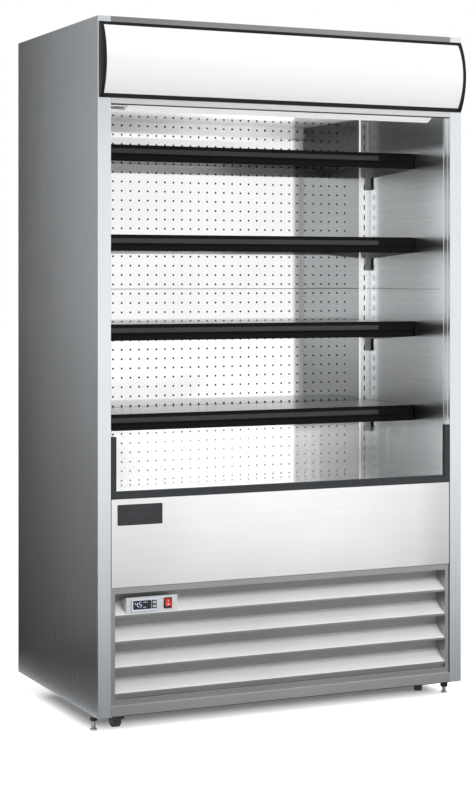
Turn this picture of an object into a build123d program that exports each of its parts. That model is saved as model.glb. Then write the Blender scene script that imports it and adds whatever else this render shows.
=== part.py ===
"""Open multideck display fridge: a free-standing, self-contained open cooler.

All sizes are in millimetres. +X is to the right as a customer sees the cooler, +Y points to its back and
+Z is up. The origin lies on the floor, below the middle of the whole outline. In the helpers and sketches
below, "back" is a distance behind the front plane, which is the face of the two front posts.
"""
import os
from math import cos, radians, sin

from build123d import *

os.makedirs("parts", exist_ok=True)

# Driving dimensions: the cabinet
WIDTH = 1175.0
DEPTH = 700.0
HEIGHT = 2000.0
FLOOR_GAP = 48.0  # floor to the cabinet's lower edge
WALL = 39.0  # side wall, whose front edge shows as a post
SHEET = 1.0  # skins and liners
BEND = 1.6  # outside radius of a folded edge
FIT = 0.3  # gap where one piece drops in beside another
POST_RETURN = 33.0  # the skin's fold along the inside of the post
REAR_FLANGE = 20.0
VENT_ROWS = 8
VENT_COLUMNS = 4
VENT_GRID = (220.0, 30.0)  # spacing of the rear air slots, across and up
VENT_SLOT = (180.0, 10.0)
FOAM = 40.0  # roof, header, rear and floor insulation
KICK_TOP = 78.0
LOUVRE_TOP = 405.0
PANEL_BOTTOM = 406.0
PANEL_TOP = 654.0
OPENING_TOP = 1757.0
WELL_FLOOR = 448.0

# Driving dimensions: the lit canopy
CANOPY_BOTTOM = 1773.0
CANOPY_TOP = 1984.0
CANOPY_INSET = 3.5  # from each side of the cabinet
CANOPY_EDGE = 5.0  # how far its top and bottom edges stand out
CANOPY_BULGE = 30.0  # how much further its middle stands out
CANOPY_RIM = (12.0, 9.0)  # heights of the bottom and top rails
CANOPY_SKIN = 3.0
CANOPY_CAP = 10.0
CANOPY_LIP = 1.0  # how far the rails stand out past the white front
TUBE_RADIUS = 8.0
TUBE_SPACING = 90.0
TUBE_HOLDER = 14.0

# Driving dimensions: the display space
LAMP_INSET = 94.0  # from each side of the cabinet
LAMP_DROP = 15.0
LAMP_FRONT = 10.0
LAMP_DEPTH = 34.0
LAMP_LEDGE = 5.0  # flat part at the diffuser's lower edge
CEILING_TOP = 1796.0
CEILING_LAP = 14.0  # past the perforated panels
DISCHARGE_ROWS = 5
DISCHARGE_COLUMNS = 4
DISCHARGE_SLOT = 8.0  # width of one slot
DISCHARGE_BRIDGE = 20.0  # between two slots of a row
DISCHARGE_EDGE = 60.0  # from the walls to the slots
DISCHARGE_ZONE = (12.0, 92.0)  # behind the front edge of the ceiling
BACK_PANEL = 510.0  # front plane to the perforated panels
BACK_PANEL_SEAM = 1237.0
HOLE_RADIUS = 3.2
HOLE_PITCH = 28.8
HOLE_TOP = 1770.0
DECK_TOP = 640.0
DECK_LIP = 20.0
PANEL_FOLD = 24.0  # fold of the lower panel, which carries the deck's rear edge
RETURN_DEPTH = 88.0  # return air grille in front of the deck
RETURN_SLOT = (8.0, 64.0)
RETURN_PITCH = 24.0
UPRIGHT_WIDTH = 26.0
UPRIGHT_THICK = 2.0
UPRIGHT_FACE = 505.0
UPRIGHT_FROM_WALL = 18.0
UPRIGHT_LAP = 17.5  # flange behind the perforated panels
UPRIGHT_GAP = 4.0  # upright to perforated panel
SLOT_PITCH = 32.75
SLOT_WIDTH = 4.0
SLOT_HEIGHT = 17.0

# Driving dimensions: the shelves
SHELF_COUNT = 4
SHELF_TOP = 1660.0
SLOTS_PER_SHELF = 8
SHELF_FRONT = 215.0
SHELF_REAR = 502.0
SHELF_GAP = 3.5  # board end to wall
BOARD_HEIGHT = 22.0
BOARD_SHEET = 1.2
BOARD_HEM = 24.0
RAIL_HEIGHT = 48.0
RAIL_DEPTH = 8.0
RAIL_EDGE = 2.0  # chamfer along the rail's face
RAIL_GROOVE = 30.0  # rail top to the groove
GROOVE_SIZE = (4.0, 2.5)  # height and depth
RAIL_REBATE = 4.0  # step below the board behind the rail
BRACKET_SHEET = 2.0
BRACKET_NOSE = 26.0  # depth of the bracket at its front
BRACKET_CHAMFER = 4.0
BRACKET_ROOT = 41.0  # depth of the bracket at its back
BRACKET_LEG = 80.0
BRACKET_LEG_DEPTH = 20.0
HOOK_NECK = 8.0
HOOK_DROP = 6.0
HOOK_REACH = 4.0
HOOK_LEVEL = 36.0  # shelf top to the first hook's seat
HOOK_COUNT = 2

# Driving dimensions: the front below the opening
GLASS_TOP = 828.0
GLASS_THICK = 6.0
GLASS_EDGE = 1.2  # rounding of its top edge
FRAME_SIDE = 15.0
FRAME_BASE = 21.0
FRAME_DEPTH = 14.0
FRAME_FRONT = 2.0
FRAME_GROOVE = 8.0
PANEL_FRONT = 2.0
PANEL_GAP = 2.0  # between the posts and what fills the opening
BADGE = (135.0, 58.0, 1.5)
BADGE_CORNER = 3.0
BADGE_LEFT = 59.0
BADGE_BOTTOM = 580.0
KICK_DEPTH = 18.0
LOUVRE_FRONT = 6.0
LOUVRE_DEPTH = 56.0
LOUVRE_SIDE = 12.0
LOUVRE_HEAD = 16.0
LOUVRE_SILL = 17.0
LOUVRE_SHEET = 1.2
BLADE_COUNT = 4
BLADE_FIRST = 105.0
BLADE_PITCH = 72.6
BLADE_FRONT = 9.0
BLADE_LIP = 6.0
BLADE_REACH = 49.0
BLADE_RISE = 33.0
BLADE_UPSTAND = 25.0
POD_LEFT = 88.0
POD_WIDTH = 155.0
POD_TOP = 376.0
POD_HOLLOW = (4.0, 10.0)  # room kept at its floor and at its rear edge

# Driving dimensions: the controls
CONTROL_LEVEL = 354.0
CONTROLLER_X = 141.5  # from the cabinet's left side
CONTROLLER_SIZE = (77.0, 35.0, 4.0)
CONTROLLER_BODY = (71.0, 29.0, 32.0)
CONTROL_CORNER = 2.0
WINDOW_MARGIN = (4.0, 5.0)
WINDOW_DEPTH = 1.0
KEY_SIZE = (9.0, 6.0, 3.0)
KEY_SPACING = 11.0
KEY_TRAVEL = 0.8
SWITCH_X = 213.5
SWITCH_SIZE = (24.0, 30.0, 2.5)
SWITCH_BODY = (21.0, 27.0, 22.0)
SWITCH_WALL = 2.0
ROCKER_SIZE = (16.0, 21.0)
ROCKER_TILT = 10.0
ROCKER_PIN = 1.5
ROCKER_DEEP = 3.0  # front of the pod to the pivot
ROCKER_FACE = (7.0, 5.0)  # pivot to the face, at its ends and in its middle
ROCKER_HEEL = 1.0
ROCKER_ROOT = (6.0, 4.0)  # how far it reaches behind the pivot, and half its height there
ROCKER_ROOM = 1.6  # room at each end for the swing

# Driving dimensions: chassis, feet and casters
TUBE_WALL = 2.0
CHASSIS_LEVEL = 66.0  # underside of the cross members
CROSS_DEPTH = 90.0
FOOT_INSET = 15.0
FOOT_BACK = 75.0
FOOT_STEM = 5.5
FOOT_PAD = (10.0, 5.0)
FOOT_EDGE = 2.0
FOOT_SPARE = 6.0  # stem above its boss
FOOT_COLLAR = (8.0, 9.0)
FOOT_BOSS = (9.0, 16.0)
CASTER_INSET = 84.0
CASTER_BACK = 111.0
CASTER_REAR = 600.0
CASTER_TURN = (0.0, 155.0)  # how far the left and right front casters have swivelled from straight ahead
WHEEL_RADIUS = 25.0
WHEEL_WIDTH = 22.0
WHEEL_EDGE = 2.5
AXLE_RADIUS = 3.0
FORK_SHEET = 2.5
FORK_GAP = 1.2
CASTER_TRAIL = 24.0
AXLE_HEAD = 1.5  # how far an axle stands out of its fork
CASTER_PLATE = 56.0
PLATE_THICK = 2.5
RACE_RADIUS = 14.0
RACE_HEIGHT = 4.5
KING_PIN = 4.0
RUNNING = 0.05
BOLT_RADIUS = 3.0
BOLT_HEAD = (5.0, 3.5)
BOLT_SQUARE = 42.0

# Driving dimensions: the refrigeration
CONDENSER_SIZE = (400.0, 50.0, 250.0)
CONDENSER_X = 190.0
CONDENSER_BACK = 100.0
CONDENSER_FINS = 26
CONDENSER_ROWS = 8
EVAPORATOR_SIZE = (860.0, 110.0, 150.0)
EVAPORATOR_BACK = 330.0
EVAPORATOR_FINS = 44
EVAPORATOR_ROWS = 5
EVAPORATOR_RAISE = 12.0  # above the well floor
EVAPORATOR_FOOT = (10.0, 40.0)  # from and to, behind the coil's front
COIL_TUBE = 5.0
COIL_PLATE = 2.0
FIN_THICK = 1.0
FIN_INSET = 2.0  # fins behind the edges of the end plates
TUBE_END = 6.0  # how far the tubes stand out of a coil
SHROUD_DEPTH = 45.0
CONDENSER_FAN = 110.0
EVAPORATOR_FAN = 75.0
FAN_SPACING = 460.0
FAN_PLATE_BACK = 230.0
FAN_PLATE = 1.5
FAN_TIP_GAP = 4.0
FAN_HUB = 0.26  # hub radius as a share of the fan's
FAN_DEPTH = 20.0
FAN_BLADES = 5
FAN_CHORD = 0.5  # width of a blade as a share of the fan's radius
FAN_PITCH = 32.0
FAN_SHEET = 2.0
MOTOR_RADIUS = 32.0
MOTOR_LENGTH = 48.0
MOTOR_ROOM = 24.0  # from a fan's plate to the face of its motor
MOTOR_BAR = (16.0, 3.0)  # height and thickness
MOTOR_POST = (8.0, 12.0)
MOTOR_POST_GAP = 6.0  # from the fan's opening to a post
SHAFT_RADIUS = 4.0
COMPRESSOR_X = -230.0
COMPRESSOR_BACK = 420.0
COMPRESSOR_RADIUS = 82.0
COMPRESSOR_HEIGHT = 190.0
GROMMET_HEIGHT = 14.0
GROMMET_RADIUS = 10.0
GROMMET_PLACE = (75.0, 50.0)
COMPRESSOR_BASE = (184.0, 124.0, 3.0)
SHELL_ROUND = (0.2, 0.55)  # bottom and top rounding as shares of its radius
TERMINAL_BOX = (56.0, 48.0, 55.0)
TERMINAL_LEVEL = 60.0  # above the shell's lower end
TRAY_SIZE = (190.0, 240.0, 36.0)
TRAY_WALL = 2.0
TRAY_X = -425.0
TRAY_BACK = 400.0
PIPE_HOLE = 34.0
PIPE_HOLE_X = -330.0
PIPE_HOLE_BACK = 560.0
GLAND_THICK = 2.0  # the plate that closes the pipe hole
DRAIN_RADIUS = 12.0
SUCTION_RADIUS = 6.0
LIQUID_RADIUS = 4.0
PIPE_BEND = 14.0
PIPE_WALL = 1.5
PIPE_STUB = (50.0, 35.0)  # suction and liquid pipe beside the evaporator
SUCTION_RISE = 30.0  # above the compressor

# Places worked out from the driving dimensions
canopy_reach = CANOPY_EDGE + CANOPY_BULGE
FRONT_Y = (canopy_reach - DEPTH) / 2
side = WIDTH / 2
inner = side - WALL  # inner face of a side wall
opening = inner - PANEL_GAP
drop_in = inner - FIT
rear_liner = DEPTH - SHEET - FOAM - SHEET
roof_liner = HEIGHT - SHEET - FOAM - SHEET
header_liner = SHEET + FOAM
shelf_spacing = SLOTS_PER_SHELF * SLOT_PITCH
board_half = inner - SHELF_GAP
upright_centre = inner - UPRIGHT_FROM_WALL
panel_half = upright_centre - UPRIGHT_WIDTH / 2 - UPRIGHT_GAP
MIN3 = (Align.MIN, Align.MIN, Align.MIN)


def slab(x, back, z, mode=Mode.ADD):
    """Add a block between two values of x, of the distance back and of the height z."""
    with Locations((min(x), FRONT_Y + min(back), min(z))):
        Box(max(x) - min(x), max(back) - min(back), max(z) - min(z), align=MIN3, mode=mode)


def both(low, high):
    """The pairs of x for one thing on the left and its mirror image on the right."""
    return (-high, -low), (low, high)


def side_plane(x):
    """A plane seen from the right side: (back, z) are its two directions."""
    return Plane(origin=(x, FRONT_Y, 0), x_dir=(0, 1, 0), z_dir=(1, 0, 0))


def front_plane(back):
    """A plane seen from the front: (x, z) are its two directions, and it faces the customer."""
    return Plane(origin=(0, FRONT_Y + back, 0), x_dir=(1, 0, 0), z_dir=(0, -1, 0))


def prism(x, points, mode=Mode.ADD):
    """Add a prism whose outline of (back, z) points runs between two values of x."""
    with BuildSketch(side_plane(min(x))) as outline:
        with BuildLine():
            Polyline(*points, close=True)
        make_face()
    extrude(outline.sketch, amount=max(x) - min(x), mode=mode)


def folded(x, points, thick, turn=Side.LEFT):
    """Add a folded sheet whose path of (back, z) points runs between two values of x."""
    with BuildSketch(side_plane(min(x))) as outline:
        with BuildLine():
            FilletPolyline(*points, radius=BEND)
            offset(amount=thick, side=turn)
        make_face()
    extrude(outline.sketch, amount=max(x) - min(x))


def rod(start, end, radius, mode=Mode.ADD):
    """Add a round bar between two points given as (x, back, z)."""
    a, b = (Vector(x, FRONT_Y + back, z) for x, back, z in (start, end))
    with BuildSketch(Plane(origin=a, z_dir=b - a)) as section:
        Circle(radius)
    extrude(section.sketch, amount=(b - a).length, mode=mode)


def save(builder, name):
    """Label a finished piece and write its file."""
    builder.part.label = name
    export_step(builder.part, f"parts/{name}.step")


# The side skins: one sheet each, folded round the front post and round the back edge
for name, hand in (("side_skin_left", -1), ("side_skin_right", 1)):
    levels = (FLOOR_GAP, HEIGHT)
    with BuildPart() as side_skin:
        slab((hand * (side - SHEET), hand * side), (0, DEPTH), levels)
        slab((hand * inner, hand * side), (0, SHEET), levels)
        slab((hand * inner, hand * (inner + SHEET)), (0, POST_RETURN), levels)
        slab((hand * (side - REAR_FLANGE), hand * side), (DEPTH - SHEET, DEPTH), levels)
        uprights_of_skin = side_skin.edges().filter_by(Axis.Z)
        fillet(uprights_of_skin.group_by(Axis.Y)[0], BEND)
        outer_rear = side_skin.edges().filter_by(Axis.Z).group_by(Axis.Y)[-1].sort_by(Axis.X)
        fillet(outer_rear[0] if hand < 0 else outer_rear[-1], BEND)
    save(side_skin, name)

# The roof skin and the rear skin, with air slots behind the machinery
with BuildPart() as roof_skin:
    slab((-side + SHEET, side - SHEET), (POST_RETURN, DEPTH - SHEET), (HEIGHT - SHEET, HEIGHT))
    slab((-inner, inner), (SHEET, POST_RETURN), (HEIGHT - SHEET, HEIGHT))
save(roof_skin, "roof_skin")

with BuildPart() as rear_skin:
    slab((-side + REAR_FLANGE, side - REAR_FLANGE), (DEPTH - SHEET, DEPTH), (FLOOR_GAP, HEIGHT))
    vent_level = (KICK_TOP + PANEL_BOTTOM) / 2
    with BuildSketch(front_plane(DEPTH)) as vents:
        with Locations((0, vent_level)):
            with GridLocations(*VENT_GRID, VENT_COLUMNS, VENT_ROWS):
                SlotOverall(*VENT_SLOT)
    extrude(vents.sketch, amount=SHEET, mode=Mode.SUBTRACT)
save(rear_skin, "rear_skin")

# The insulation, foamed in one piece round the display space and the well, with a hole for the pipes
foam_side = (inner + SHEET, side - SHEET)
foam_levels = (KICK_TOP, HEIGHT - SHEET)
well_underside = WELL_FLOOR - SHEET - FOAM
across = (-inner - SHEET, inner + SHEET)
with BuildPart() as insulation:
    for x in both(*foam_side):
        slab(x, (SHEET, DEPTH - SHEET), foam_levels)
    slab(across, (POST_RETURN, DEPTH - SHEET), (roof_liner + SHEET, HEIGHT - SHEET))
    slab(across, (rear_liner + SHEET, DEPTH - SHEET), (well_underside, HEIGHT - SHEET))
    slab((-inner, inner), (SHEET + FIT, header_liner), (OPENING_TOP + SHEET + FIT, HEIGHT - SHEET))
    slab((-inner, inner), (POST_RETURN, DEPTH - SHEET), (well_underside, WELL_FLOOR - SHEET))
    slab((-opening, opening), (PANEL_FRONT + SHEET + FIT, header_liner),
         (PANEL_BOTTOM + SHEET + FIT, PANEL_TOP - SHEET - FIT))
    rod((PIPE_HOLE_X, PIPE_HOLE_BACK, well_underside), (PIPE_HOLE_X, PIPE_HOLE_BACK, WELL_FLOOR),
        PIPE_HOLE, mode=Mode.SUBTRACT)
save(insulation, "insulation")

# The inner liner: side walls, header, top, back, well floor and well front, and the sheet below the well
liner_back = (header_liner, rear_liner)
with BuildPart() as inner_liner:
    for x in both(inner, inner + SHEET):
        slab(x, (POST_RETURN, rear_liner + SHEET), (KICK_TOP, roof_liner + SHEET))
    slab((-drop_in, drop_in), (header_liner, header_liner + SHEET), (OPENING_TOP + SHEET, roof_liner - FIT))
    slab((-drop_in, drop_in), liner_back, (roof_liner, roof_liner + SHEET))
    slab((-drop_in, drop_in), (rear_liner, rear_liner + SHEET), (WELL_FLOOR + FIT, roof_liner - FIT))
    slab((-drop_in, drop_in), liner_back, (WELL_FLOOR - SHEET, WELL_FLOOR))
    well_front = (WELL_FLOOR + FIT, PANEL_TOP - SHEET - FIT)
    slab((-drop_in, drop_in), (header_liner, header_liner + SHEET), well_front)
    slab((-drop_in, drop_in), (POST_RETURN + FIT, DEPTH - SHEET), (well_underside - SHEET, well_underside))
    rod((PIPE_HOLE_X, PIPE_HOLE_BACK, well_underside - SHEET), (PIPE_HOLE_X, PIPE_HOLE_BACK, WELL_FLOOR),
        PIPE_HOLE, mode=Mode.SUBTRACT)
save(inner_liner, "inner_liner")

# The base frame: two box rails with bosses for the feet, two cross members and the machine pan
rail_x = (inner + SHEET, side - SHEET)
foot_x = side - FOOT_INSET
with BuildPart() as base_frame:
    for x in both(*rail_x):
        slab(x, (SHEET, DEPTH - SHEET), (FLOOR_GAP, KICK_TOP))
    for back in (CASTER_BACK, CASTER_REAR):
        cross_back = (back - CROSS_DEPTH / 2, back + CROSS_DEPTH / 2)
        slab((-rail_x[0], rail_x[0]), cross_back, (CHASSIS_LEVEL, KICK_TOP))
    slab((-rail_x[0], rail_x[0]), (POST_RETURN + FIT, DEPTH - SHEET), (KICK_TOP - TUBE_WALL, KICK_TOP))
    for x in both(rail_x[0] + TUBE_WALL, rail_x[1] - TUBE_WALL):
        slab(x, (SHEET, DEPTH - SHEET), (FLOOR_GAP + TUBE_WALL, KICK_TOP - TUBE_WALL), mode=Mode.SUBTRACT)
    for back in (CASTER_BACK, CASTER_REAR):
        hollow = CROSS_DEPTH / 2 - TUBE_WALL
        slab((-rail_x[0], rail_x[0]), (back - hollow, back + hollow),
             (CHASSIS_LEVEL + TUBE_WALL, KICK_TOP - TUBE_WALL), mode=Mode.SUBTRACT)
    for x in (-foot_x, foot_x):
        rod((x, FOOT_BACK, FLOOR_GAP), (x, FOOT_BACK, FLOOR_GAP + FOOT_BOSS[1]), FOOT_BOSS[0])
        rod((x, FOOT_BACK, FLOOR_GAP), (x, FOOT_BACK, FLOOR_GAP + FOOT_BOSS[1]), FOOT_STEM + RUNNING,
            mode=Mode.SUBTRACT)
    for x in (-side + CASTER_INSET, side - CASTER_INSET):
        for back in (CASTER_BACK, CASTER_REAR):
            with Locations((x, FRONT_Y + back, CHASSIS_LEVEL + TUBE_WALL / 2)):
                with GridLocations(BOLT_SQUARE, BOLT_SQUARE, 2, 2):
                    Cylinder(BOLT_RADIUS + RUNNING, TUBE_WALL, mode=Mode.SUBTRACT)
save(base_frame, "base_frame")

# The kick rail between the posts
with BuildPart() as kick_rail:
    kick_path = [(KICK_DEPTH, FLOOR_GAP), (0, FLOOR_GAP), (0, KICK_TOP), (KICK_DEPTH, KICK_TOP)]
    folded((-drop_in, drop_in), kick_path, LOUVRE_SHEET, Side.RIGHT)
save(kick_rail, "kick_rail")

# The header panel above the opening, folded back under the header
with BuildPart() as header_panel:
    header_path = [(0, HEIGHT), (0, OPENING_TOP), (header_liner + SHEET, OPENING_TOP)]
    folded((-drop_in, drop_in), header_path, SHEET, Side.LEFT)
save(header_panel, "header_panel")

# The canopy: a black frame of two rails and two end caps, the white front it holds, and its two light tubes
canopy_half = side - CANOPY_INSET
canopy_middle = (CANOPY_BOTTOM + CANOPY_TOP) / 2
rail_span = canopy_half - CANOPY_CAP
front_low, front_high = CANOPY_BOTTOM + CANOPY_RIM[0], CANOPY_TOP - CANOPY_RIM[1]
with BuildPart() as canopy_frame:
    for low, high in ((CANOPY_BOTTOM, front_low), (front_high, CANOPY_TOP)):
        slab((-rail_span, rail_span), (-CANOPY_EDGE - CANOPY_LIP, 0), (low, high))
    fillet(canopy_frame.edges().filter_by(Axis.X).group_by(Axis.Y)[0], BEND)
    for x in both(rail_span, canopy_half):
        with BuildSketch(side_plane(x[0])) as cap_outline:
            with BuildLine():
                bulge = ThreePointArc((-CANOPY_EDGE, CANOPY_BOTTOM), (-canopy_reach, canopy_middle),
                                      (-CANOPY_EDGE, CANOPY_TOP))
                Polyline(bulge @ 0, (0, CANOPY_BOTTOM), (0, CANOPY_TOP), bulge @ 1)
            make_face()
        extrude(cap_outline.sketch, amount=CANOPY_CAP)
save(canopy_frame, "canopy_frame")

front_bulge = CANOPY_LIP - canopy_reach
with BuildPart() as canopy_front:
    with BuildSketch(side_plane(-rail_span)) as front_outline:
        with BuildLine():
            outside = ThreePointArc((-CANOPY_EDGE, front_low), (front_bulge, canopy_middle),
                                    (-CANOPY_EDGE, front_high))
            inside = ThreePointArc((CANOPY_SKIN - CANOPY_EDGE, front_low),
                                   (CANOPY_SKIN + front_bulge, canopy_middle),
                                   (CANOPY_SKIN - CANOPY_EDGE, front_high))
            Line(outside @ 0, inside @ 0)
            Line(outside @ 1, inside @ 1)
        make_face()
    extrude(front_outline.sketch, amount=2 * rail_span)
save(canopy_front, "canopy_front")

tube_back = -CANOPY_EDGE - TUBE_RADIUS
with BuildPart() as canopy_lamps:
    for level in (canopy_middle - TUBE_SPACING / 2, canopy_middle + TUBE_SPACING / 2):
        reach = rail_span - FIT - TUBE_HOLDER
        rod((-reach, tube_back, level), (reach, tube_back, level), TUBE_RADIUS)
        for x in both(reach, reach + TUBE_HOLDER):
            slab(x, (tube_back - TUBE_RADIUS, 0), (level - TUBE_RADIUS, level + TUBE_RADIUS))
save(canopy_lamps, "canopy_lamps")

# The lamp under the header: a sloping diffuser against the header's lower fold
lamp_half = side - LAMP_INSET
with BuildPart() as lamp_diffuser:
    prism((-lamp_half, lamp_half), [
        (LAMP_FRONT, OPENING_TOP),
        (LAMP_FRONT + LAMP_DEPTH - LAMP_LEDGE, OPENING_TOP - LAMP_DROP),
        (LAMP_FRONT + LAMP_DEPTH, OPENING_TOP - LAMP_DROP),
        (LAMP_FRONT + LAMP_DEPTH, OPENING_TOP),
    ])
save(lamp_diffuser, "lamp_diffuser")

# The duct ceiling, with slots that let the cold air curtain down behind the header
ceiling_front = header_liner + SHEET + FIT
slot_middle_back = ceiling_front + sum(DISCHARGE_ZONE) / 2
slot_step = (2 * (drop_in - DISCHARGE_EDGE) / DISCHARGE_COLUMNS,
             (DISCHARGE_ZONE[1] - DISCHARGE_ZONE[0]) / DISCHARGE_ROWS)
with BuildPart() as duct_ceiling:
    slab((-drop_in, drop_in), (ceiling_front, BACK_PANEL + CEILING_LAP), (CEILING_TOP - SHEET, CEILING_TOP))
    ceiling_drop = (OPENING_TOP + SHEET + FIT, CEILING_TOP)
    slab((-drop_in, drop_in), (ceiling_front, ceiling_front + SHEET), ceiling_drop)
    slot_plane = Plane.XY.offset(CEILING_TOP - SHEET)
    with BuildSketch(slot_plane) as discharge:
        with Locations((0, FRONT_Y + slot_middle_back)):
            with GridLocations(*slot_step, DISCHARGE_COLUMNS, DISCHARGE_ROWS):
                Rectangle(slot_step[0] - DISCHARGE_BRIDGE, DISCHARGE_SLOT)
    extrude(discharge.sketch, amount=SHEET, mode=Mode.SUBTRACT)
save(duct_ceiling, "duct_ceiling")

# The perforated back panels. Their rows of holes keep one pitch across the seam.
hole_columns = int((2 * panel_half - HOLE_PITCH) / HOLE_PITCH) - 1
panel_top = CEILING_TOP - SHEET - FIT
deck_under = DECK_TOP - SHEET
panel_levels = {
    "back_panel_upper": (BACK_PANEL_SEAM + FIT, panel_top),
    "back_panel_lower": (deck_under - SHEET, BACK_PANEL_SEAM),
}
for name, (low, high) in panel_levels.items():
    first_row = int((HOLE_TOP - high) / HOLE_PITCH) + 1 if high < HOLE_TOP else 0
    rows = int((HOLE_TOP - low - HOLE_RADIUS) / HOLE_PITCH) - first_row + 1
    middle_level = HOLE_TOP - (first_row + (rows - 1) / 2) * HOLE_PITCH
    with BuildPart() as back_panel:
        with BuildSketch(front_plane(BACK_PANEL + SHEET)) as perforated:
            with Locations((0, (low + high) / 2)):
                Rectangle(2 * panel_half, high - low)
            with Locations((0, middle_level)):
                with GridLocations(HOLE_PITCH, HOLE_PITCH, hole_columns, rows):
                    Circle(HOLE_RADIUS, mode=Mode.SUBTRACT)
        extrude(perforated.sketch, amount=SHEET, clean=False)
        if low < DECK_TOP:
            slab((-panel_half, panel_half), (BACK_PANEL - PANEL_FOLD, BACK_PANEL), (low, deck_under))
    save(back_panel, name)

# The slotted uprights: a front face, a web back to the rear liner and a lap behind the perforated panels
seat_first = SHELF_TOP - HOOK_LEVEL - FIT
slots_above = int((panel_top - seat_first - SLOT_HEIGHT) / SLOT_PITCH)
slots_below = int((seat_first - DECK_TOP) / SLOT_PITCH)
slot_count = slots_above + slots_below + 1
slot_middle = seat_first + SLOT_HEIGHT / 2 + (slots_above - slots_below) / 2 * SLOT_PITCH
upright_levels = (WELL_FLOOR + FIT, panel_top)
web_out = upright_centre + UPRIGHT_WIDTH / 2
web_in = upright_centre - UPRIGHT_WIDTH / 2
with BuildPart() as uprights:
    for x in both(web_in, web_out):
        slab(x, (UPRIGHT_FACE, UPRIGHT_FACE + UPRIGHT_THICK), upright_levels)
    for x in both(web_out - UPRIGHT_THICK, web_out):
        slab(x, (UPRIGHT_FACE, rear_liner - FIT), upright_levels)
    for x in both(web_out - UPRIGHT_WIDTH, web_out):
        slab(x, (rear_liner - FIT - UPRIGHT_THICK, rear_liner - FIT), upright_levels)
    for x in both(web_in, web_in + UPRIGHT_THICK):
        slab(x, (UPRIGHT_FACE, BACK_PANEL + SHEET + UPRIGHT_THICK), upright_levels)
    for x in both(web_in - UPRIGHT_LAP, web_in + UPRIGHT_THICK):
        slab(x, (BACK_PANEL + SHEET, BACK_PANEL + SHEET + UPRIGHT_THICK), upright_levels)
    with BuildSketch(front_plane(UPRIGHT_FACE + UPRIGHT_THICK)) as slots:
        with Locations((-upright_centre, slot_middle), (upright_centre, slot_middle)):
            with GridLocations(1, SLOT_PITCH, 1, slot_count):
                Rectangle(SLOT_WIDTH, SLOT_HEIGHT)
    extrude(slots.sketch, amount=UPRIGHT_THICK, mode=Mode.SUBTRACT)
save(uprights, "uprights")

# The shelves: a hemmed board, its price rail and two brackets. A bracket is an arm beside the upright, with
# tabs in front of it that end in the hooks.
board_front = SHELF_FRONT + RAIL_DEPTH
groove_high, groove_deep = GROOVE_SIZE[0] / 2, SHELF_FRONT + GROOVE_SIZE[1]
bracket_rear = UPRIGHT_FACE - FIT
hook_x = (upright_centre - BRACKET_SHEET / 2, upright_centre + BRACKET_SHEET / 2)
arm_x = (web_out - BRACKET_SHEET, web_out)
for number in range(SHELF_COUNT):
    top = SHELF_TOP - number * shelf_spacing
    board = top - BOARD_HEIGHT
    with BuildPart() as shelf_board:
        slab((-board_half, board_half), (board_front, SHELF_REAR), (board, top))
        slab((-board_half + BOARD_SHEET, board_half - BOARD_SHEET),
             (board_front + BOARD_SHEET, SHELF_REAR - BOARD_SHEET), (board + BOARD_SHEET, top - BOARD_SHEET),
             mode=Mode.SUBTRACT)
        slab((-board_half + BOARD_HEM, board_half - BOARD_HEM),
             (board_front + BOARD_HEM, SHELF_REAR - BOARD_HEM), (board, board + BOARD_SHEET),
             mode=Mode.SUBTRACT)
    save(shelf_board, f"shelf_board_{number + 1}")

    rail_low = top - RAIL_HEIGHT
    groove = top - RAIL_GROOVE
    with BuildPart() as price_rail:
        prism((-board_half, board_half), [
            (board_front, top), (SHELF_FRONT + RAIL_EDGE, top), (SHELF_FRONT, top - RAIL_EDGE),
            (SHELF_FRONT, groove + groove_high), (groove_deep, groove + groove_high / 2),
            (groove_deep, groove - groove_high / 2), (SHELF_FRONT, groove - groove_high),
            (SHELF_FRONT, rail_low + RAIL_EDGE), (SHELF_FRONT + RAIL_EDGE, rail_low),
            (board_front - RAIL_EDGE, rail_low), (board_front - RAIL_EDGE, board - RAIL_REBATE),
            (board_front, board - RAIL_REBATE),
        ])
    save(price_rail, f"price_rail_{number + 1}")

    leg_low = board - BRACKET_LEG
    leg_front = bracket_rear - BRACKET_LEG_DEPTH
    neck_end = UPRIGHT_FACE + UPRIGHT_THICK + FIT
    with BuildPart() as shelf_brackets:
        for x in both(*arm_x):
            prism(x, [
                (board_front, board), (board_front, board - BRACKET_NOSE + BRACKET_CHAMFER),
                (board_front + BRACKET_CHAMFER, board - BRACKET_NOSE), (leg_front, board - BRACKET_ROOT),
                (leg_front, leg_low), (bracket_rear, leg_low), (bracket_rear, board),
            ])
        for hook in range(HOOK_COUNT):
            seat = top - HOOK_LEVEL - hook * SLOT_PITCH
            for x in both(hook_x[0], arm_x[1]):
                slab(x, (bracket_rear - BRACKET_SHEET, bracket_rear), (seat, seat + HOOK_NECK))
            for x in both(*hook_x):
                prism(x, [
                    (bracket_rear - 1, seat), (neck_end, seat), (neck_end, seat - HOOK_DROP),
                    (neck_end + HOOK_REACH, seat - HOOK_DROP), (neck_end + HOOK_REACH, seat + HOOK_NECK),
                    (bracket_rear - 1, seat + HOOK_NECK),
                ])
    save(shelf_brackets, f"shelf_brackets_{number + 1}")

# The deck of the display space and the return air grille in front of it
deck_front = header_liner + SHEET + FIT + RETURN_DEPTH
return_front = header_liner + SHEET + FIT
with BuildPart() as deck_panel:
    slab((-drop_in, drop_in), (deck_front, UPRIGHT_FACE - FIT), (deck_under, DECK_TOP))
    slab((-drop_in, drop_in), (deck_front, deck_front + SHEET), (DECK_TOP - DECK_LIP, DECK_TOP))
save(deck_panel, "deck_panel")

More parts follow.
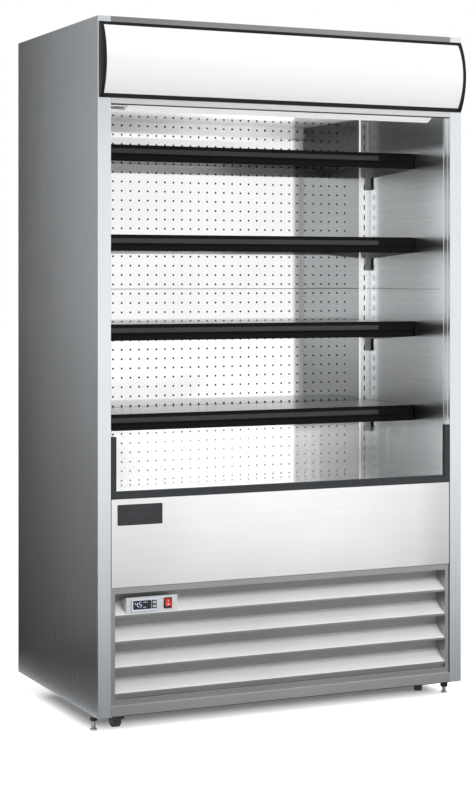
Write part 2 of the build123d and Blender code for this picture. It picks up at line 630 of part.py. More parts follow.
with BuildPart() as return_grille:
    slab((-drop_in, drop_in), (return_front, deck_front - FIT), (deck_under, DECK_TOP))
    slab((-drop_in, drop_in), (return_front, return_front + SHEET), (DECK_TOP - DECK_LIP, DECK_TOP))
    slab((-drop_in, drop_in), (deck_front - FIT - SHEET, deck_front - FIT), (DECK_TOP - DECK_LIP, DECK_TOP))
    with BuildSketch(Plane.XY.offset(deck_under)) as returns:
        with Locations((0, FRONT_Y + (return_front + deck_front) / 2)):
            with GridLocations(RETURN_PITCH, 1, int(2 * drop_in / RETURN_PITCH) - 1, 1):
                Rectangle(*RETURN_SLOT)
    extrude(returns.sketch, amount=SHEET, mode=Mode.SUBTRACT)
save(return_grille, "return_grille")

# The glass riser in its black frame, which is open at the top
glass_back = FRAME_FRONT + (FRAME_DEPTH - GLASS_THICK) / 2
glass_x = opening - FRAME_SIDE + FRAME_GROOVE
glass_low = PANEL_TOP + FRAME_BASE - FRAME_GROOVE
glass_span, glass_planes = (-glass_x, glass_x), (glass_back, glass_back + GLASS_THICK)
with BuildPart() as glass_frame:
    slab((-opening, opening), (FRAME_FRONT, FRAME_FRONT + FRAME_DEPTH), (PANEL_TOP, GLASS_TOP))
    slab((-opening + FRAME_SIDE, opening - FRAME_SIDE), (FRAME_FRONT, FRAME_FRONT + FRAME_DEPTH),
         (PANEL_TOP + FRAME_BASE, GLASS_TOP), mode=Mode.SUBTRACT)
    slab(glass_span, glass_planes, (glass_low, GLASS_TOP), mode=Mode.SUBTRACT)
save(glass_frame, "glass_frame")

with BuildPart() as front_glass:
    slab(glass_span, glass_planes, (glass_low, GLASS_TOP))
    fillet(front_glass.edges().filter_by(Axis.X).group_by(Axis.Z)[-1], GLASS_EDGE)
save(front_glass, "front_glass")

# The front panel of the well, with its plain badge plate
with BuildPart() as front_panel:
    folded((-opening, opening), [
        (header_liner + SHEET, PANEL_TOP), (PANEL_FRONT, PANEL_TOP), (PANEL_FRONT, PANEL_BOTTOM),
        (KICK_DEPTH, PANEL_BOTTOM),
    ], SHEET)
save(front_panel, "front_panel")

badge_x = BADGE_LEFT - side
with BuildPart() as badge_plate:
    slab((badge_x, badge_x + BADGE[0]), (PANEL_FRONT - BADGE[2], PANEL_FRONT),
         (BADGE_BOTTOM, BADGE_BOTTOM + BADGE[1]))
    fillet(badge_plate.edges().filter_by(Axis.Y), BADGE_CORNER)
save(badge_plate, "badge_plate")

# The louvred grille: a frame of folded channels and its sloping blades
frame_back = (LOUVRE_FRONT, LOUVRE_FRONT + LOUVRE_DEPTH)
web_back = (LOUVRE_FRONT + LOUVRE_SHEET, LOUVRE_FRONT + LOUVRE_DEPTH - LOUVRE_SHEET)
window_x = opening - LOUVRE_SIDE
with BuildPart() as louvre_frame:
    slab((-opening, opening), frame_back, (KICK_TOP, LOUVRE_TOP))
    slab((-window_x, window_x), frame_back, (KICK_TOP + LOUVRE_SILL, LOUVRE_TOP - LOUVRE_HEAD),
         mode=Mode.SUBTRACT)
    for x in both(window_x + LOUVRE_SHEET, opening):
        slab(x, web_back, (KICK_TOP + LOUVRE_SHEET, LOUVRE_TOP - LOUVRE_SHEET), mode=Mode.SUBTRACT)
    slab((-opening + LOUVRE_SHEET, opening - LOUVRE_SHEET), web_back,
         (KICK_TOP, KICK_TOP + LOUVRE_SILL - LOUVRE_SHEET), mode=Mode.SUBTRACT)
    slab((-opening + LOUVRE_SHEET, opening - LOUVRE_SHEET), web_back,
         (LOUVRE_TOP - LOUVRE_HEAD + LOUVRE_SHEET, LOUVRE_TOP), mode=Mode.SUBTRACT)
save(louvre_frame, "louvre_frame")

controller_x = CONTROLLER_X - side
switch_x = SWITCH_X - side
pod_x = (POD_LEFT - side, POD_LEFT + POD_WIDTH - side)
blade_back = BLADE_FRONT + BLADE_REACH
pod_level = BLADE_FIRST + (BLADE_COUNT - 1) * BLADE_PITCH + BLADE_LIP
with BuildPart() as louvre_blades:
    for number in range(BLADE_COUNT):
        level = BLADE_FIRST + number * BLADE_PITCH
        crest = level + BLADE_LIP + BLADE_RISE
        folded((-window_x, window_x), [
            (BLADE_FRONT, level), (BLADE_FRONT, level + BLADE_LIP), (blade_back, crest),
            (blade_back, crest + BLADE_UPSTAND),
        ], LOUVRE_SHEET)
    # the control pod on the top blade, hollow behind its upright face
    prism(pod_x, [(BLADE_FRONT, pod_level), (BLADE_FRONT, POD_TOP), (blade_back, pod_level + BLADE_RISE)])
    prism((pod_x[0] + LOUVRE_SHEET, pod_x[1] - LOUVRE_SHEET), [
        (BLADE_FRONT + LOUVRE_SHEET, pod_level + POD_HOLLOW[0]),
        (BLADE_FRONT + LOUVRE_SHEET, POD_TOP - LOUVRE_SHEET * 2),
        (blade_back - POD_HOLLOW[1], pod_level + BLADE_RISE - LOUVRE_SHEET * 2),
    ], mode=Mode.SUBTRACT)
    for x, size in ((controller_x, CONTROLLER_BODY), (switch_x, SWITCH_BODY)):
        slab((x - size[0] / 2, x + size[0] / 2), (BLADE_FRONT, BLADE_FRONT + size[2]),
             (CONTROL_LEVEL - size[1] / 2, CONTROL_LEVEL + size[1] / 2), mode=Mode.SUBTRACT)
save(louvre_blades, "louvre_blades")

# The controller and its two keys, upright on the pod
bezel_back = (BLADE_FRONT - CONTROLLER_SIZE[2], BLADE_FRONT)
key_x = controller_x + CONTROLLER_SIZE[0] / 2 - KEY_SIZE[0]
key_levels = (CONTROL_LEVEL + KEY_SPACING / 2, CONTROL_LEVEL - KEY_SPACING / 2)
key_back = bezel_back[0] - KEY_TRAVEL
controller_span = (controller_x - CONTROLLER_SIZE[0] / 2, controller_x + CONTROLLER_SIZE[0] / 2)
controller_half = CONTROLLER_SIZE[1] / 2
with BuildPart() as controller:
    slab(controller_span, bezel_back, (CONTROL_LEVEL - controller_half, CONTROL_LEVEL + controller_half))
    fillet(controller.edges().filter_by(Axis.Y), CONTROL_CORNER)
    slab((controller_x - CONTROLLER_BODY[0] / 2, controller_x + CONTROLLER_BODY[0] / 2),
         (BLADE_FRONT, BLADE_FRONT + CONTROLLER_BODY[2]),
         (CONTROL_LEVEL - CONTROLLER_BODY[1] / 2, CONTROL_LEVEL + CONTROLLER_BODY[1] / 2))
    window_half = controller_half - WINDOW_MARGIN[1]
    slab((controller_span[0] + WINDOW_MARGIN[0], key_x - KEY_SIZE[0]),
         (bezel_back[0], bezel_back[0] + WINDOW_DEPTH),
         (CONTROL_LEVEL - window_half, CONTROL_LEVEL + window_half), mode=Mode.SUBTRACT)
    for level in key_levels:
        slab((key_x - KEY_SIZE[0] / 2 - FIT, key_x + KEY_SIZE[0] / 2 + FIT),
             (bezel_back[0], bezel_back[0] + KEY_SIZE[2] + KEY_TRAVEL + FIT),
             (level - KEY_SIZE[1] / 2 - FIT, level + KEY_SIZE[1] / 2 + FIT), mode=Mode.SUBTRACT)
save(controller, "controller")

for name, level in zip(("key_up", "key_down"), key_levels):
    with BuildPart() as key:
        slab((key_x - KEY_SIZE[0] / 2, key_x + KEY_SIZE[0] / 2),
             (key_back, key_back + KEY_SIZE[2] + KEY_TRAVEL),
             (level - KEY_SIZE[1] / 2, level + KEY_SIZE[1] / 2))
        fillet(key.edges().group_by(Axis.Y)[0], KEY_TRAVEL / 2)
    save(key, name)

# The rocker switch: a hollow housing behind a black bezel, and the red rocker that tilts in it
rocker_half, rocker_end = ROCKER_SIZE[0] / 2, ROCKER_SIZE[1] / 2
rocker_room = rocker_end + ROCKER_ROOM
pivot_back = BLADE_FRONT + ROCKER_DEEP
with BuildPart() as switch_bezel:
    slab((switch_x - SWITCH_SIZE[0] / 2, switch_x + SWITCH_SIZE[0] / 2),
         (BLADE_FRONT - SWITCH_SIZE[2], BLADE_FRONT),
         (CONTROL_LEVEL - SWITCH_SIZE[1] / 2, CONTROL_LEVEL + SWITCH_SIZE[1] / 2))
    fillet(switch_bezel.edges().filter_by(Axis.Y), CONTROL_CORNER)
    slab((switch_x - SWITCH_BODY[0] / 2, switch_x + SWITCH_BODY[0] / 2),
         (BLADE_FRONT, BLADE_FRONT + SWITCH_BODY[2]),
         (CONTROL_LEVEL - SWITCH_BODY[1] / 2, CONTROL_LEVEL + SWITCH_BODY[1] / 2))
    slab((switch_x - rocker_half - FIT, switch_x + rocker_half + FIT),
         (BLADE_FRONT - SWITCH_SIZE[2], BLADE_FRONT + SWITCH_BODY[2] - SWITCH_WALL),
         (CONTROL_LEVEL - rocker_room, CONTROL_LEVEL + rocker_room), mode=Mode.SUBTRACT)
    rod((switch_x - SWITCH_BODY[0] / 2, pivot_back, CONTROL_LEVEL),
        (switch_x + SWITCH_BODY[0] / 2, pivot_back, CONTROL_LEVEL), ROCKER_PIN + RUNNING, mode=Mode.SUBTRACT)
save(switch_bezel, "switch_bezel")

tilt = radians(-ROCKER_TILT)
rocker_plane = Plane(origin=(switch_x - rocker_half, FRONT_Y + pivot_back, CONTROL_LEVEL),
                     x_dir=(0, cos(tilt), sin(tilt)), z_dir=(1, 0, 0))
with BuildPart() as switch_rocker:
    with BuildSketch(rocker_plane):
        with BuildLine():
            Polyline((-ROCKER_FACE[0], -rocker_end), (-ROCKER_FACE[1], 0), (-ROCKER_FACE[0], rocker_end),
                     (-ROCKER_HEEL, rocker_end), ROCKER_ROOT, (ROCKER_ROOT[0], -ROCKER_ROOT[1]),
                     (-ROCKER_HEEL, -rocker_end), close=True)
        make_face()
    extrude(amount=2 * rocker_half)
    rod((switch_x - SWITCH_BODY[0] / 2 + FIT, pivot_back, CONTROL_LEVEL),
        (switch_x + SWITCH_BODY[0] / 2 - FIT, pivot_back, CONTROL_LEVEL), ROCKER_PIN)
save(switch_rocker, "switch_rocker")

# The two levelling feet under the front corners, screwed up against their collars
for name, x in (("foot_left", -foot_x), ("foot_right", foot_x)):
    collar_top = FLOOR_GAP - FIT
    with BuildPart(Plane(origin=(x, FRONT_Y + FOOT_BACK, 0))) as foot:
        with Locations((0, 0, FOOT_PAD[1] / 2)):
            Cylinder(FOOT_PAD[0], FOOT_PAD[1])
        fillet(foot.edges().group_by(Axis.Z)[-1], FOOT_EDGE)
        stem_top = FLOOR_GAP + FOOT_BOSS[1] + FOOT_SPARE
        with Locations((0, 0, (FOOT_PAD[1] + stem_top) / 2)):
            Cylinder(FOOT_STEM, stem_top - FOOT_PAD[1])
        with BuildSketch(Plane(origin=(x, FRONT_Y + FOOT_BACK, collar_top - FOOT_COLLAR[1]))):
            RegularPolygon(FOOT_COLLAR[0], 6)
        extrude(amount=FOOT_COLLAR[1])
    save(foot, name)

# The casters: swivelling in front, fixed at the back
plate_low = CHASSIS_LEVEL - PLATE_THICK
race_low = plate_low - RACE_HEIGHT
fork_top = race_low - FIT
leg_inside = WHEEL_WIDTH / 2 + FORK_GAP
caster_x = side - CASTER_INSET


def fork_legs(plane, trail, top, top_half):
    """Add the two legs and the axle of a fork, whose axle runs along the plane's x direction."""
    for offset_x in (-leg_inside - FORK_SHEET, leg_inside):
        leg_plane = plane * Plane(origin=(offset_x, 0, 0), x_dir=(0, 1, 0), z_dir=(1, 0, 0))
        with BuildSketch(leg_plane) as leg:
            with Locations((trail, WHEEL_RADIUS)):
                Circle(2 * AXLE_RADIUS)
            with Locations((0, top - FORK_SHEET / 2)):
                Rectangle(2 * top_half, FORK_SHEET)
            make_hull()
        extrude(leg.sketch, amount=FORK_SHEET)
    axle_half = leg_inside + FORK_SHEET + AXLE_HEAD
    axle_plane = plane * Plane(origin=(-axle_half, trail, WHEEL_RADIUS), x_dir=(0, 1, 0), z_dir=(1, 0, 0))
    with BuildSketch(axle_plane) as axle:
        Circle(AXLE_RADIUS)
    extrude(axle.sketch, amount=2 * axle_half)


def caster_plane(x, back, turn):
    """The floor plane below a caster that has swivelled by a turn, with its x direction along the axle."""
    axle = (cos(radians(turn)), sin(radians(turn)), 0)
    return Plane(origin=(x, FRONT_Y + back, 0), x_dir=axle, z_dir=(0, 0, 1))


with BuildPart() as caster_plates:
    for x in (-caster_x, caster_x):
        for back in (CASTER_BACK, CASTER_REAR):
            with Locations((x, FRONT_Y + back, plate_low + PLATE_THICK / 2)):
                Box(CASTER_PLATE, CASTER_PLATE, PLATE_THICK)
        with Locations((x, FRONT_Y + CASTER_BACK, race_low + RACE_HEIGHT / 2)):
            Cylinder(RACE_RADIUS, RACE_HEIGHT)
        rod((x, CASTER_BACK, race_low), (x, CASTER_BACK, CHASSIS_LEVEL), KING_PIN + RUNNING,
            mode=Mode.SUBTRACT)
        fork_legs(caster_plane(x, CASTER_REAR, 0), 0, plate_low, WHEEL_RADIUS / 2)
    for x in (-caster_x, caster_x):
        for back in (CASTER_BACK, CASTER_REAR):
            centre = (x, FRONT_Y + back)
            with BuildSketch(Plane.XY.offset(plate_low - BOLT_HEAD[1])) as heads:
                with Locations(centre):
                    with GridLocations(BOLT_SQUARE, BOLT_SQUARE, 2, 2):
                        RegularPolygon(BOLT_HEAD[0], 6)
            extrude(heads.sketch, amount=BOLT_HEAD[1])
            with BuildSketch(Plane.XY.offset(CHASSIS_LEVEL)) as shanks:
                with Locations(centre):
                    with GridLocations(BOLT_SQUARE, BOLT_SQUARE, 2, 2):
                        Circle(BOLT_RADIUS)
            extrude(shanks.sketch, amount=KICK_TOP - TUBE_WALL - FIT - CHASSIS_LEVEL)
save(caster_plates, "caster_plates")

front_casters = (("left", -caster_x, CASTER_TURN[0]), ("right", caster_x, CASTER_TURN[1]))
for hand, x, turn in front_casters:
    fork_plane = caster_plane(x, CASTER_BACK, turn)
    with BuildPart() as caster_fork:
        with BuildSketch(fork_plane.offset(fork_top - FORK_SHEET)) as bridge:
            Rectangle(2 * (leg_inside + FORK_SHEET), 2 * RACE_RADIUS)
        extrude(bridge.sketch, amount=FORK_SHEET)
        fork_legs(fork_plane, -CASTER_TRAIL, fork_top, RACE_RADIUS)
        rod((x, CASTER_BACK, fork_top - FORK_SHEET), (x, CASTER_BACK, CHASSIS_LEVEL - FIT), KING_PIN)
    save(caster_fork, f"caster_fork_{hand}")

wheel_places = {f"rear_{hand}": (caster_plane(x, CASTER_REAR, 0), 0) for hand, x, _ in front_casters}
for hand, x, turn in front_casters:
    wheel_places[f"front_{hand}"] = (caster_plane(x, CASTER_BACK, turn), -CASTER_TRAIL)
for place, (floor_plane, trail) in wheel_places.items():
    wheel_plane = floor_plane * Plane(origin=(0, trail, WHEEL_RADIUS), x_dir=(0, 0, 1), z_dir=(1, 0, 0))
    with BuildPart(wheel_plane) as caster_wheel:
        Cylinder(WHEEL_RADIUS, WHEEL_WIDTH)
        fillet(caster_wheel.edges(), WHEEL_EDGE)
        Cylinder(AXLE_RADIUS + RUNNING, WHEEL_WIDTH, mode=Mode.SUBTRACT)
    save(caster_wheel, f"caster_wheel_{place}")

# Coils, fans and their motors


def coil(middle_x, back, low, size, fins, tube_rows):
    """Add a finned coil: end plates, fins and the tubes through them."""
    width, depth, height = size
    centre = (middle_x, FRONT_Y + back + depth / 2, low + height / 2)
    with Locations(centre):
        with GridLocations(width - COIL_PLATE, 1, 2, 1):
            Box(COIL_PLATE, depth, height)
        with GridLocations(width / (fins + 1), 1, fins, 1):
            Box(FIN_THICK, depth - 2 * FIN_INSET, height - 2 * FIN_INSET)
    tube_start = (middle_x - width / 2 - TUBE_END, *centre[1:])
    tube_plane = Plane(origin=tube_start, x_dir=(0, 1, 0), z_dir=(1, 0, 0))
    with BuildSketch(tube_plane) as tubes:
        with GridLocations(depth / 2, height / tube_rows, 2, tube_rows):
            Circle(COIL_TUBE)
    extrude(tubes.sketch, amount=width + 2 * TUBE_END)


def motor_on_bar(x, level, plate, hand, radius):
    """Add a fan's motor on its bar and two posts. The motor is behind the plate for hand 1, else in front."""
    face = plate + hand * MOTOR_ROOM
    bar_high, bar_thick = MOTOR_BAR
    post_wide, post_high = MOTOR_POST
    post_near = radius + FAN_TIP_GAP + MOTOR_POST_GAP
    post_far = post_near + post_wide
    slab((x - post_far, x + post_far), (face - hand * bar_thick, face),
         (level - bar_high / 2, level + bar_high / 2))
    for post in ((x - post_far, x - post_near), (x + post_near, x + post_far)):
        slab(post, (plate, face - hand * bar_thick), (level - post_high / 2, level + post_high / 2))
    rod((x, face, level), (x, face + hand * MOTOR_LENGTH, level), MOTOR_RADIUS)
    rod((x, face - hand * bar_thick, level), (x, face + hand * MOTOR_LENGTH / 2, level),
        SHAFT_RADIUS + RUNNING, mode=Mode.SUBTRACT)


def fan(x, level, plate, hand, radius):
    """Add an axial fan: hub, five pitched blades and a shaft into its motor."""
    hub = radius * FAN_HUB
    fan_plane = Plane(origin=(x, FRONT_Y + plate, level), x_dir=(1, 0, 0), z_dir=(0, -1, 0))
    with BuildPart(fan_plane, mode=Mode.PRIVATE) as blades:
        with PolarLocations(radius / 2, FAN_BLADES):
            Box(radius, radius * FAN_CHORD, FAN_SHEET, rotation=(FAN_PITCH, 0, 0))
        Cylinder(radius, radius, mode=Mode.INTERSECT)
        Cylinder(hub / 2, radius, mode=Mode.SUBTRACT)
    add(blades.part)
    rod((x, plate - FAN_DEPTH / 2, level), (x, plate + FAN_DEPTH / 2, level), hub)
    shaft_end = plate + hand * (MOTOR_ROOM + MOTOR_LENGTH / 2 - 1)
    rod((x, plate, level), (x, shaft_end, level), SHAFT_RADIUS)


condenser_level = KICK_TOP + CONDENSER_SIZE[2] / 2
shroud_back = CONDENSER_BACK + CONDENSER_SIZE[1]
shroud_plate = shroud_back + SHROUD_DEPTH
shroud_x = (CONDENSER_X - CONDENSER_SIZE[0] / 2, CONDENSER_X + CONDENSER_SIZE[0] / 2)
shroud_z = (KICK_TOP, KICK_TOP + CONDENSER_SIZE[2])
with BuildPart() as condenser:
    slab(shroud_x, (shroud_back, shroud_plate), shroud_z)
    slab((shroud_x[0] + BOARD_SHEET, shroud_x[1] - BOARD_SHEET), (shroud_back, shroud_plate - BOARD_SHEET),
         (shroud_z[0] + BOARD_SHEET, shroud_z[1] - BOARD_SHEET), mode=Mode.SUBTRACT)
    rod((CONDENSER_X, shroud_back, condenser_level), (CONDENSER_X, shroud_plate, condenser_level),
        CONDENSER_FAN + FAN_TIP_GAP, mode=Mode.SUBTRACT)
    motor_on_bar(CONDENSER_X, condenser_level, shroud_plate, 1, CONDENSER_FAN)
    coil(CONDENSER_X, CONDENSER_BACK, KICK_TOP, CONDENSER_SIZE, CONDENSER_FINS, CONDENSER_ROWS)
save(condenser, "condenser")

with BuildPart() as condenser_fan:
    fan(CONDENSER_X, condenser_level, shroud_plate, 1, CONDENSER_FAN)
save(condenser_fan, "condenser_fan")

evaporator_low = WELL_FLOOR + EVAPORATOR_RAISE
fan_level = (WELL_FLOOR + deck_under) / 2
with BuildPart() as evaporator:
    coil(0, EVAPORATOR_BACK, evaporator_low, EVAPORATOR_SIZE, EVAPORATOR_FINS, EVAPORATOR_ROWS)
    for x in both(EVAPORATOR_SIZE[0] / 2 - COIL_PLATE, EVAPORATOR_SIZE[0] / 2):
        slab(x, (EVAPORATOR_BACK + EVAPORATOR_FOOT[0], EVAPORATOR_BACK + EVAPORATOR_FOOT[1]),
             (WELL_FLOOR, evaporator_low + COIL_PLATE))
save(evaporator, "evaporator")

with BuildPart() as evaporator_fan_plate:
    slab((-drop_in, drop_in), (FAN_PLATE_BACK, FAN_PLATE_BACK + FAN_PLATE), (WELL_FLOOR, deck_under))
    for x in (-FAN_SPACING / 2, FAN_SPACING / 2):
        rod((x, FAN_PLATE_BACK, fan_level), (x, FAN_PLATE_BACK + FAN_PLATE, fan_level),
            EVAPORATOR_FAN + FAN_TIP_GAP, mode=Mode.SUBTRACT)
        motor_on_bar(x, fan_level, FAN_PLATE_BACK, -1, EVAPORATOR_FAN)
save(evaporator_fan_plate, "evaporator_fan_plate")

for name, x in (("evaporator_fan_left", -FAN_SPACING / 2), ("evaporator_fan_right", FAN_SPACING / 2)):
    with BuildPart() as evaporator_fan:
        fan(x, fan_level, FAN_PLATE_BACK, -1, EVAPORATOR_FAN)
    save(evaporator_fan, name)

# The compressor on its rubber grommets
base_level = KICK_TOP + GROMMET_HEIGHT
shell_low = base_level + COMPRESSOR_BASE[2]
compressor_top = shell_low + COMPRESSOR_HEIGHT
terminal_rear = COMPRESSOR_BACK - COMPRESSOR_RADIUS + TERMINAL_BOX[1] / 2
with BuildPart() as compressor:
    for x in (COMPRESSOR_X - GROMMET_PLACE[0], COMPRESSOR_X + GROMMET_PLACE[0]):
        for back in (COMPRESSOR_BACK - GROMMET_PLACE[1], COMPRESSOR_BACK + GROMMET_PLACE[1]):
            rod((x, back, KICK_TOP), (x, back, base_level), GROMMET_RADIUS)
    slab((COMPRESSOR_X - COMPRESSOR_BASE[0] / 2, COMPRESSOR_X + COMPRESSOR_BASE[0] / 2),
         (COMPRESSOR_BACK - COMPRESSOR_BASE[1] / 2, COMPRESSOR_BACK + COMPRESSOR_BASE[1] / 2),
         (base_level, shell_low))
    with BuildPart(mode=Mode.PRIVATE) as shell:
        rod((COMPRESSOR_X, COMPRESSOR_BACK, shell_low), (COMPRESSOR_X, COMPRESSOR_BACK, compressor_top),
            COMPRESSOR_RADIUS)
        fillet(shell.edges().group_by(Axis.Z)[-1], COMPRESSOR_RADIUS * SHELL_ROUND[1])
        fillet(shell.edges().group_by(Axis.Z)[0], COMPRESSOR_RADIUS * SHELL_ROUND[0])
    add(shell.part)
    slab((COMPRESSOR_X - TERMINAL_BOX[0] / 2, COMPRESSOR_X + TERMINAL_BOX[0] / 2),
         (terminal_rear - TERMINAL_BOX[1], terminal_rear),
         (shell_low + TERMINAL_LEVEL, shell_low + TERMINAL_LEVEL + TERMINAL_BOX[2]))
save(compressor, "compressor")

# The condensate tray
tray_x = (TRAY_X - TRAY_SIZE[0] / 2, TRAY_X + TRAY_SIZE[0] / 2)
tray_back = (TRAY_BACK, TRAY_BACK + TRAY_SIZE[1])
with BuildPart() as drain_tray:
    slab(tray_x, tray_back, (KICK_TOP, KICK_TOP + TRAY_SIZE[2]))
    slab((tray_x[0] + TRAY_WALL, tray_x[1] - TRAY_WALL), (tray_back[0] + TRAY_WALL, tray_back[1] - TRAY_WALL),
         (KICK_TOP + TRAY_WALL, KICK_TOP + TRAY_SIZE[2]), mode=Mode.SUBTRACT)
save(drain_tray, "drain_tray")

# The pipework: the gland plate over the pipe hole with the drain, suction and liquid pipes, and the
# discharge pipe


def pipe(points, radius):
    """Add a bent pipe along (x, back, z) points."""
    with BuildLine() as route:
        FilletPolyline(*[(x, FRONT_Y + back, z) for x, back, z in points], radius=PIPE_BEND)
    with BuildSketch(Plane(origin=route.line @ 0, z_dir=route.line % 0)) as section:
        Circle(radius)
    sweep(section.sketch, path=route.line)


def tube_end(middle_x, back, low, size, row, tube_rows, rank):
    """The left end of one coil tube as (x, back, z), by its row from below and its front or rear rank."""
    width, depth, height = size
    level = low + height / 2 + (row - (tube_rows - 1) / 2) * height / tube_rows
    return middle_x - width / 2 - TUBE_END, back + depth / 2 + rank * depth / 4, level


drain_place = (PIPE_HOLE_X - PIPE_HOLE / 2, PIPE_HOLE_BACK + PIPE_HOLE / 6)
suction_place = (PIPE_HOLE_X + PIPE_HOLE / 4, PIPE_HOLE_BACK - PIPE_HOLE / 2)
liquid_place = (PIPE_HOLE_X + PIPE_HOLE * 0.6, PIPE_HOLE_BACK + PIPE_HOLE / 3)
cold_coil = (0, EVAPORATOR_BACK, evaporator_low, EVAPORATOR_SIZE)
hot_coil = (CONDENSER_X, CONDENSER_BACK, KICK_TOP, CONDENSER_SIZE)
coil_out = tube_end(*cold_coil, EVAPORATOR_ROWS - 1, EVAPORATOR_ROWS, 1)
coil_in = tube_end(*cold_coil, 0, EVAPORATOR_ROWS, 1)
hot_in = tube_end(*hot_coil, CONDENSER_ROWS - 1, CONDENSER_ROWS, 1)
hot_out = tube_end(*hot_coil, 0, CONDENSER_ROWS, -1)
suction_start = (COMPRESSOR_X - 20, COMPRESSOR_BACK)
discharge_start = (COMPRESSOR_X + 20, COMPRESSOR_BACK)
pass_right = COMPRESSOR_X + COMPRESSOR_RADIUS + SUCTION_RISE
suction_x, liquid_x = coil_out[0] - PIPE_STUB[0], coil_in[0] - PIPE_STUB[1]
suction_top = compressor_top + SUCTION_RISE
with BuildPart() as pipework:
    rod((PIPE_HOLE_X, PIPE_HOLE_BACK, WELL_FLOOR), (PIPE_HOLE_X, PIPE_HOLE_BACK, WELL_FLOOR + GLAND_THICK),
        PIPE_HOLE + 8)
    drain_end = KICK_TOP + TRAY_SIZE[2] / 2
    rod((*drain_place, drain_end), (*drain_place, WELL_FLOOR), DRAIN_RADIUS)
    pipe([
        coil_out, (suction_x, *coil_out[1:]), (suction_x, suction_place[1], coil_out[2]),
        (*suction_place, coil_out[2]), (*suction_place, suction_top), (*suction_start, suction_top),
        (*suction_start, compressor_top),
    ], SUCTION_RADIUS)
    pipe([
        coil_in, (liquid_x, *coil_in[1:]), (liquid_x, liquid_place[1], coil_in[2]),
        (*liquid_place, coil_in[2]), (*liquid_place, hot_out[2]), (pass_right, liquid_place[1], hot_out[2]),
        (pass_right, hot_out[1], hot_out[2]), hot_out,
    ], LIQUID_RADIUS)
    rod((*drain_place, drain_end), (*drain_place, WELL_FLOOR + GLAND_THICK), DRAIN_RADIUS - PIPE_WALL,
        mode=Mode.SUBTRACT)
    pipe([
        (*discharge_start, compressor_top), (*discharge_start, hot_in[2]),
        (discharge_start[0], hot_in[1], hot_in[2]), hot_in,
    ], LIQUID_RADIUS)
save(pipework, "pipework")
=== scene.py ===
# %% [markdown]
# # An open display cooler in brushed steel
# This lesson dresses a finished CAD model of an open shop cooler. The CAD model gives every sheet its size
# and place. Blender adds what the CAD model can't hold: the finishes, the light, and the small formed
# details. First the imported model is loaded.

# %% Load the model
import math

import bmesh
import bpy
from mathutils import Matrix, Vector


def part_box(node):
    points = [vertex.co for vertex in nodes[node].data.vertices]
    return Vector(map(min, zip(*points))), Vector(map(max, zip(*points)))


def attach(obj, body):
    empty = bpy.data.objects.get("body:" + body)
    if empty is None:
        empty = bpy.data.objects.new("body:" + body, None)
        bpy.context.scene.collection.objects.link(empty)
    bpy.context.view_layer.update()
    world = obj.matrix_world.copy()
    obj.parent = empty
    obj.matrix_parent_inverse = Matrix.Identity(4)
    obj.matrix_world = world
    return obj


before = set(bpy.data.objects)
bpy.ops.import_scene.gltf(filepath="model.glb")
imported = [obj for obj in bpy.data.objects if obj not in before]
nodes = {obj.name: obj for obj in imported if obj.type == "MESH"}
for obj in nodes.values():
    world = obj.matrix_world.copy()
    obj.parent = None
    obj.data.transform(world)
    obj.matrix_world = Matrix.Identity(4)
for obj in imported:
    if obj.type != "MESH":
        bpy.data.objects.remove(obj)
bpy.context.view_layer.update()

# %% [markdown]
# ## The camera
# The photograph was taken from the front left, level with the middle shelves, with a long lens. A level
# camera keeps upright edges upright, so the frame is lowered with the lens shift and not by tilting the
# camera.

# %% Camera
camera_data = bpy.data.cameras.new("camera")
camera_data.lens = 84.866
camera_data.sensor_width = 36.0
camera_data.shift_y = -0.1519
camera_data.clip_end = 100.0
camera = bpy.data.objects.new("camera", camera_data)
camera.location = (-2.4420, -5.2368, 1.2697)
camera.rotation_euler = (math.radians(90), 0, math.radians(-24.929))
bpy.context.scene.collection.objects.link(camera)
bpy.context.scene.camera = camera
print("camera at", camera.location[:], "with a lens of", camera_data.lens, "mm")

# %% [markdown]
# ## Small helpers for node trees
# Every finish below is a small tree of shader nodes. Two helpers keep those trees short: one adds a node
# and sets its values, the other connects two sockets.


# %% Node helpers
def add_node(tree, kind, **values):
    """Add a node. A value named after an input sets that input, and any other value sets a property."""
    node = tree.nodes.new(kind)
    for name, value in values.items():
        label = name.replace("_", " ")
        if hasattr(node, name):
            setattr(node, name, value)
        else:
            node.inputs[label].default_value = value
    return node


def connect(tree, source, target):
    """Link an output socket to an input socket."""
    tree.links.new(source, target)


# %% [markdown]
# ## The room
# The room is a white studio. Steel shows its surroundings, so what the camera sees directly, what metal
# mirrors and what glass lets through are all plain white. Only the light that falls on matt surfaces comes
# from a slightly lower world level, which leaves room for the lamps and their soft shadows.

# %% World
MATT_LEVEL = 0.55

world = bpy.data.worlds.new("studio")
bpy.context.scene.world = world
world.use_nodes = True
sky = world.node_tree
sky.nodes.clear()


def seen_directly(tree):
    """A value that is 1 for camera, mirrored and transmitted rays, and 0 for the light that they gather."""
    ray = add_node(tree, "ShaderNodeLightPath")
    last = ray.outputs["Is Camera Ray"]
    for kind in ("Is Glossy Ray", "Is Transmission Ray"):
        either = add_node(tree, "ShaderNodeMath", operation="MAXIMUM")
        connect(tree, last, either.inputs[0])
        connect(tree, ray.outputs[kind], either.inputs[1])
        last = either.outputs[0]
    return last


level = add_node(sky, "ShaderNodeMath", operation="MAXIMUM")
level.inputs[1].default_value = MATT_LEVEL
connect(sky, seen_directly(sky), level.inputs[0])
background = add_node(sky, "ShaderNodeBackground")
connect(sky, level.outputs[0], background.inputs["Strength"])
background.inputs["Color"].default_value = (1.0, 1.0, 1.0, 1.0)
world_out = add_node(sky, "ShaderNodeOutputWorld")
connect(sky, background.outputs[0], world_out.inputs["Surface"])
bpy.context.scene.view_settings.view_transform = "Standard"
print("world level for matt surfaces", MATT_LEVEL)
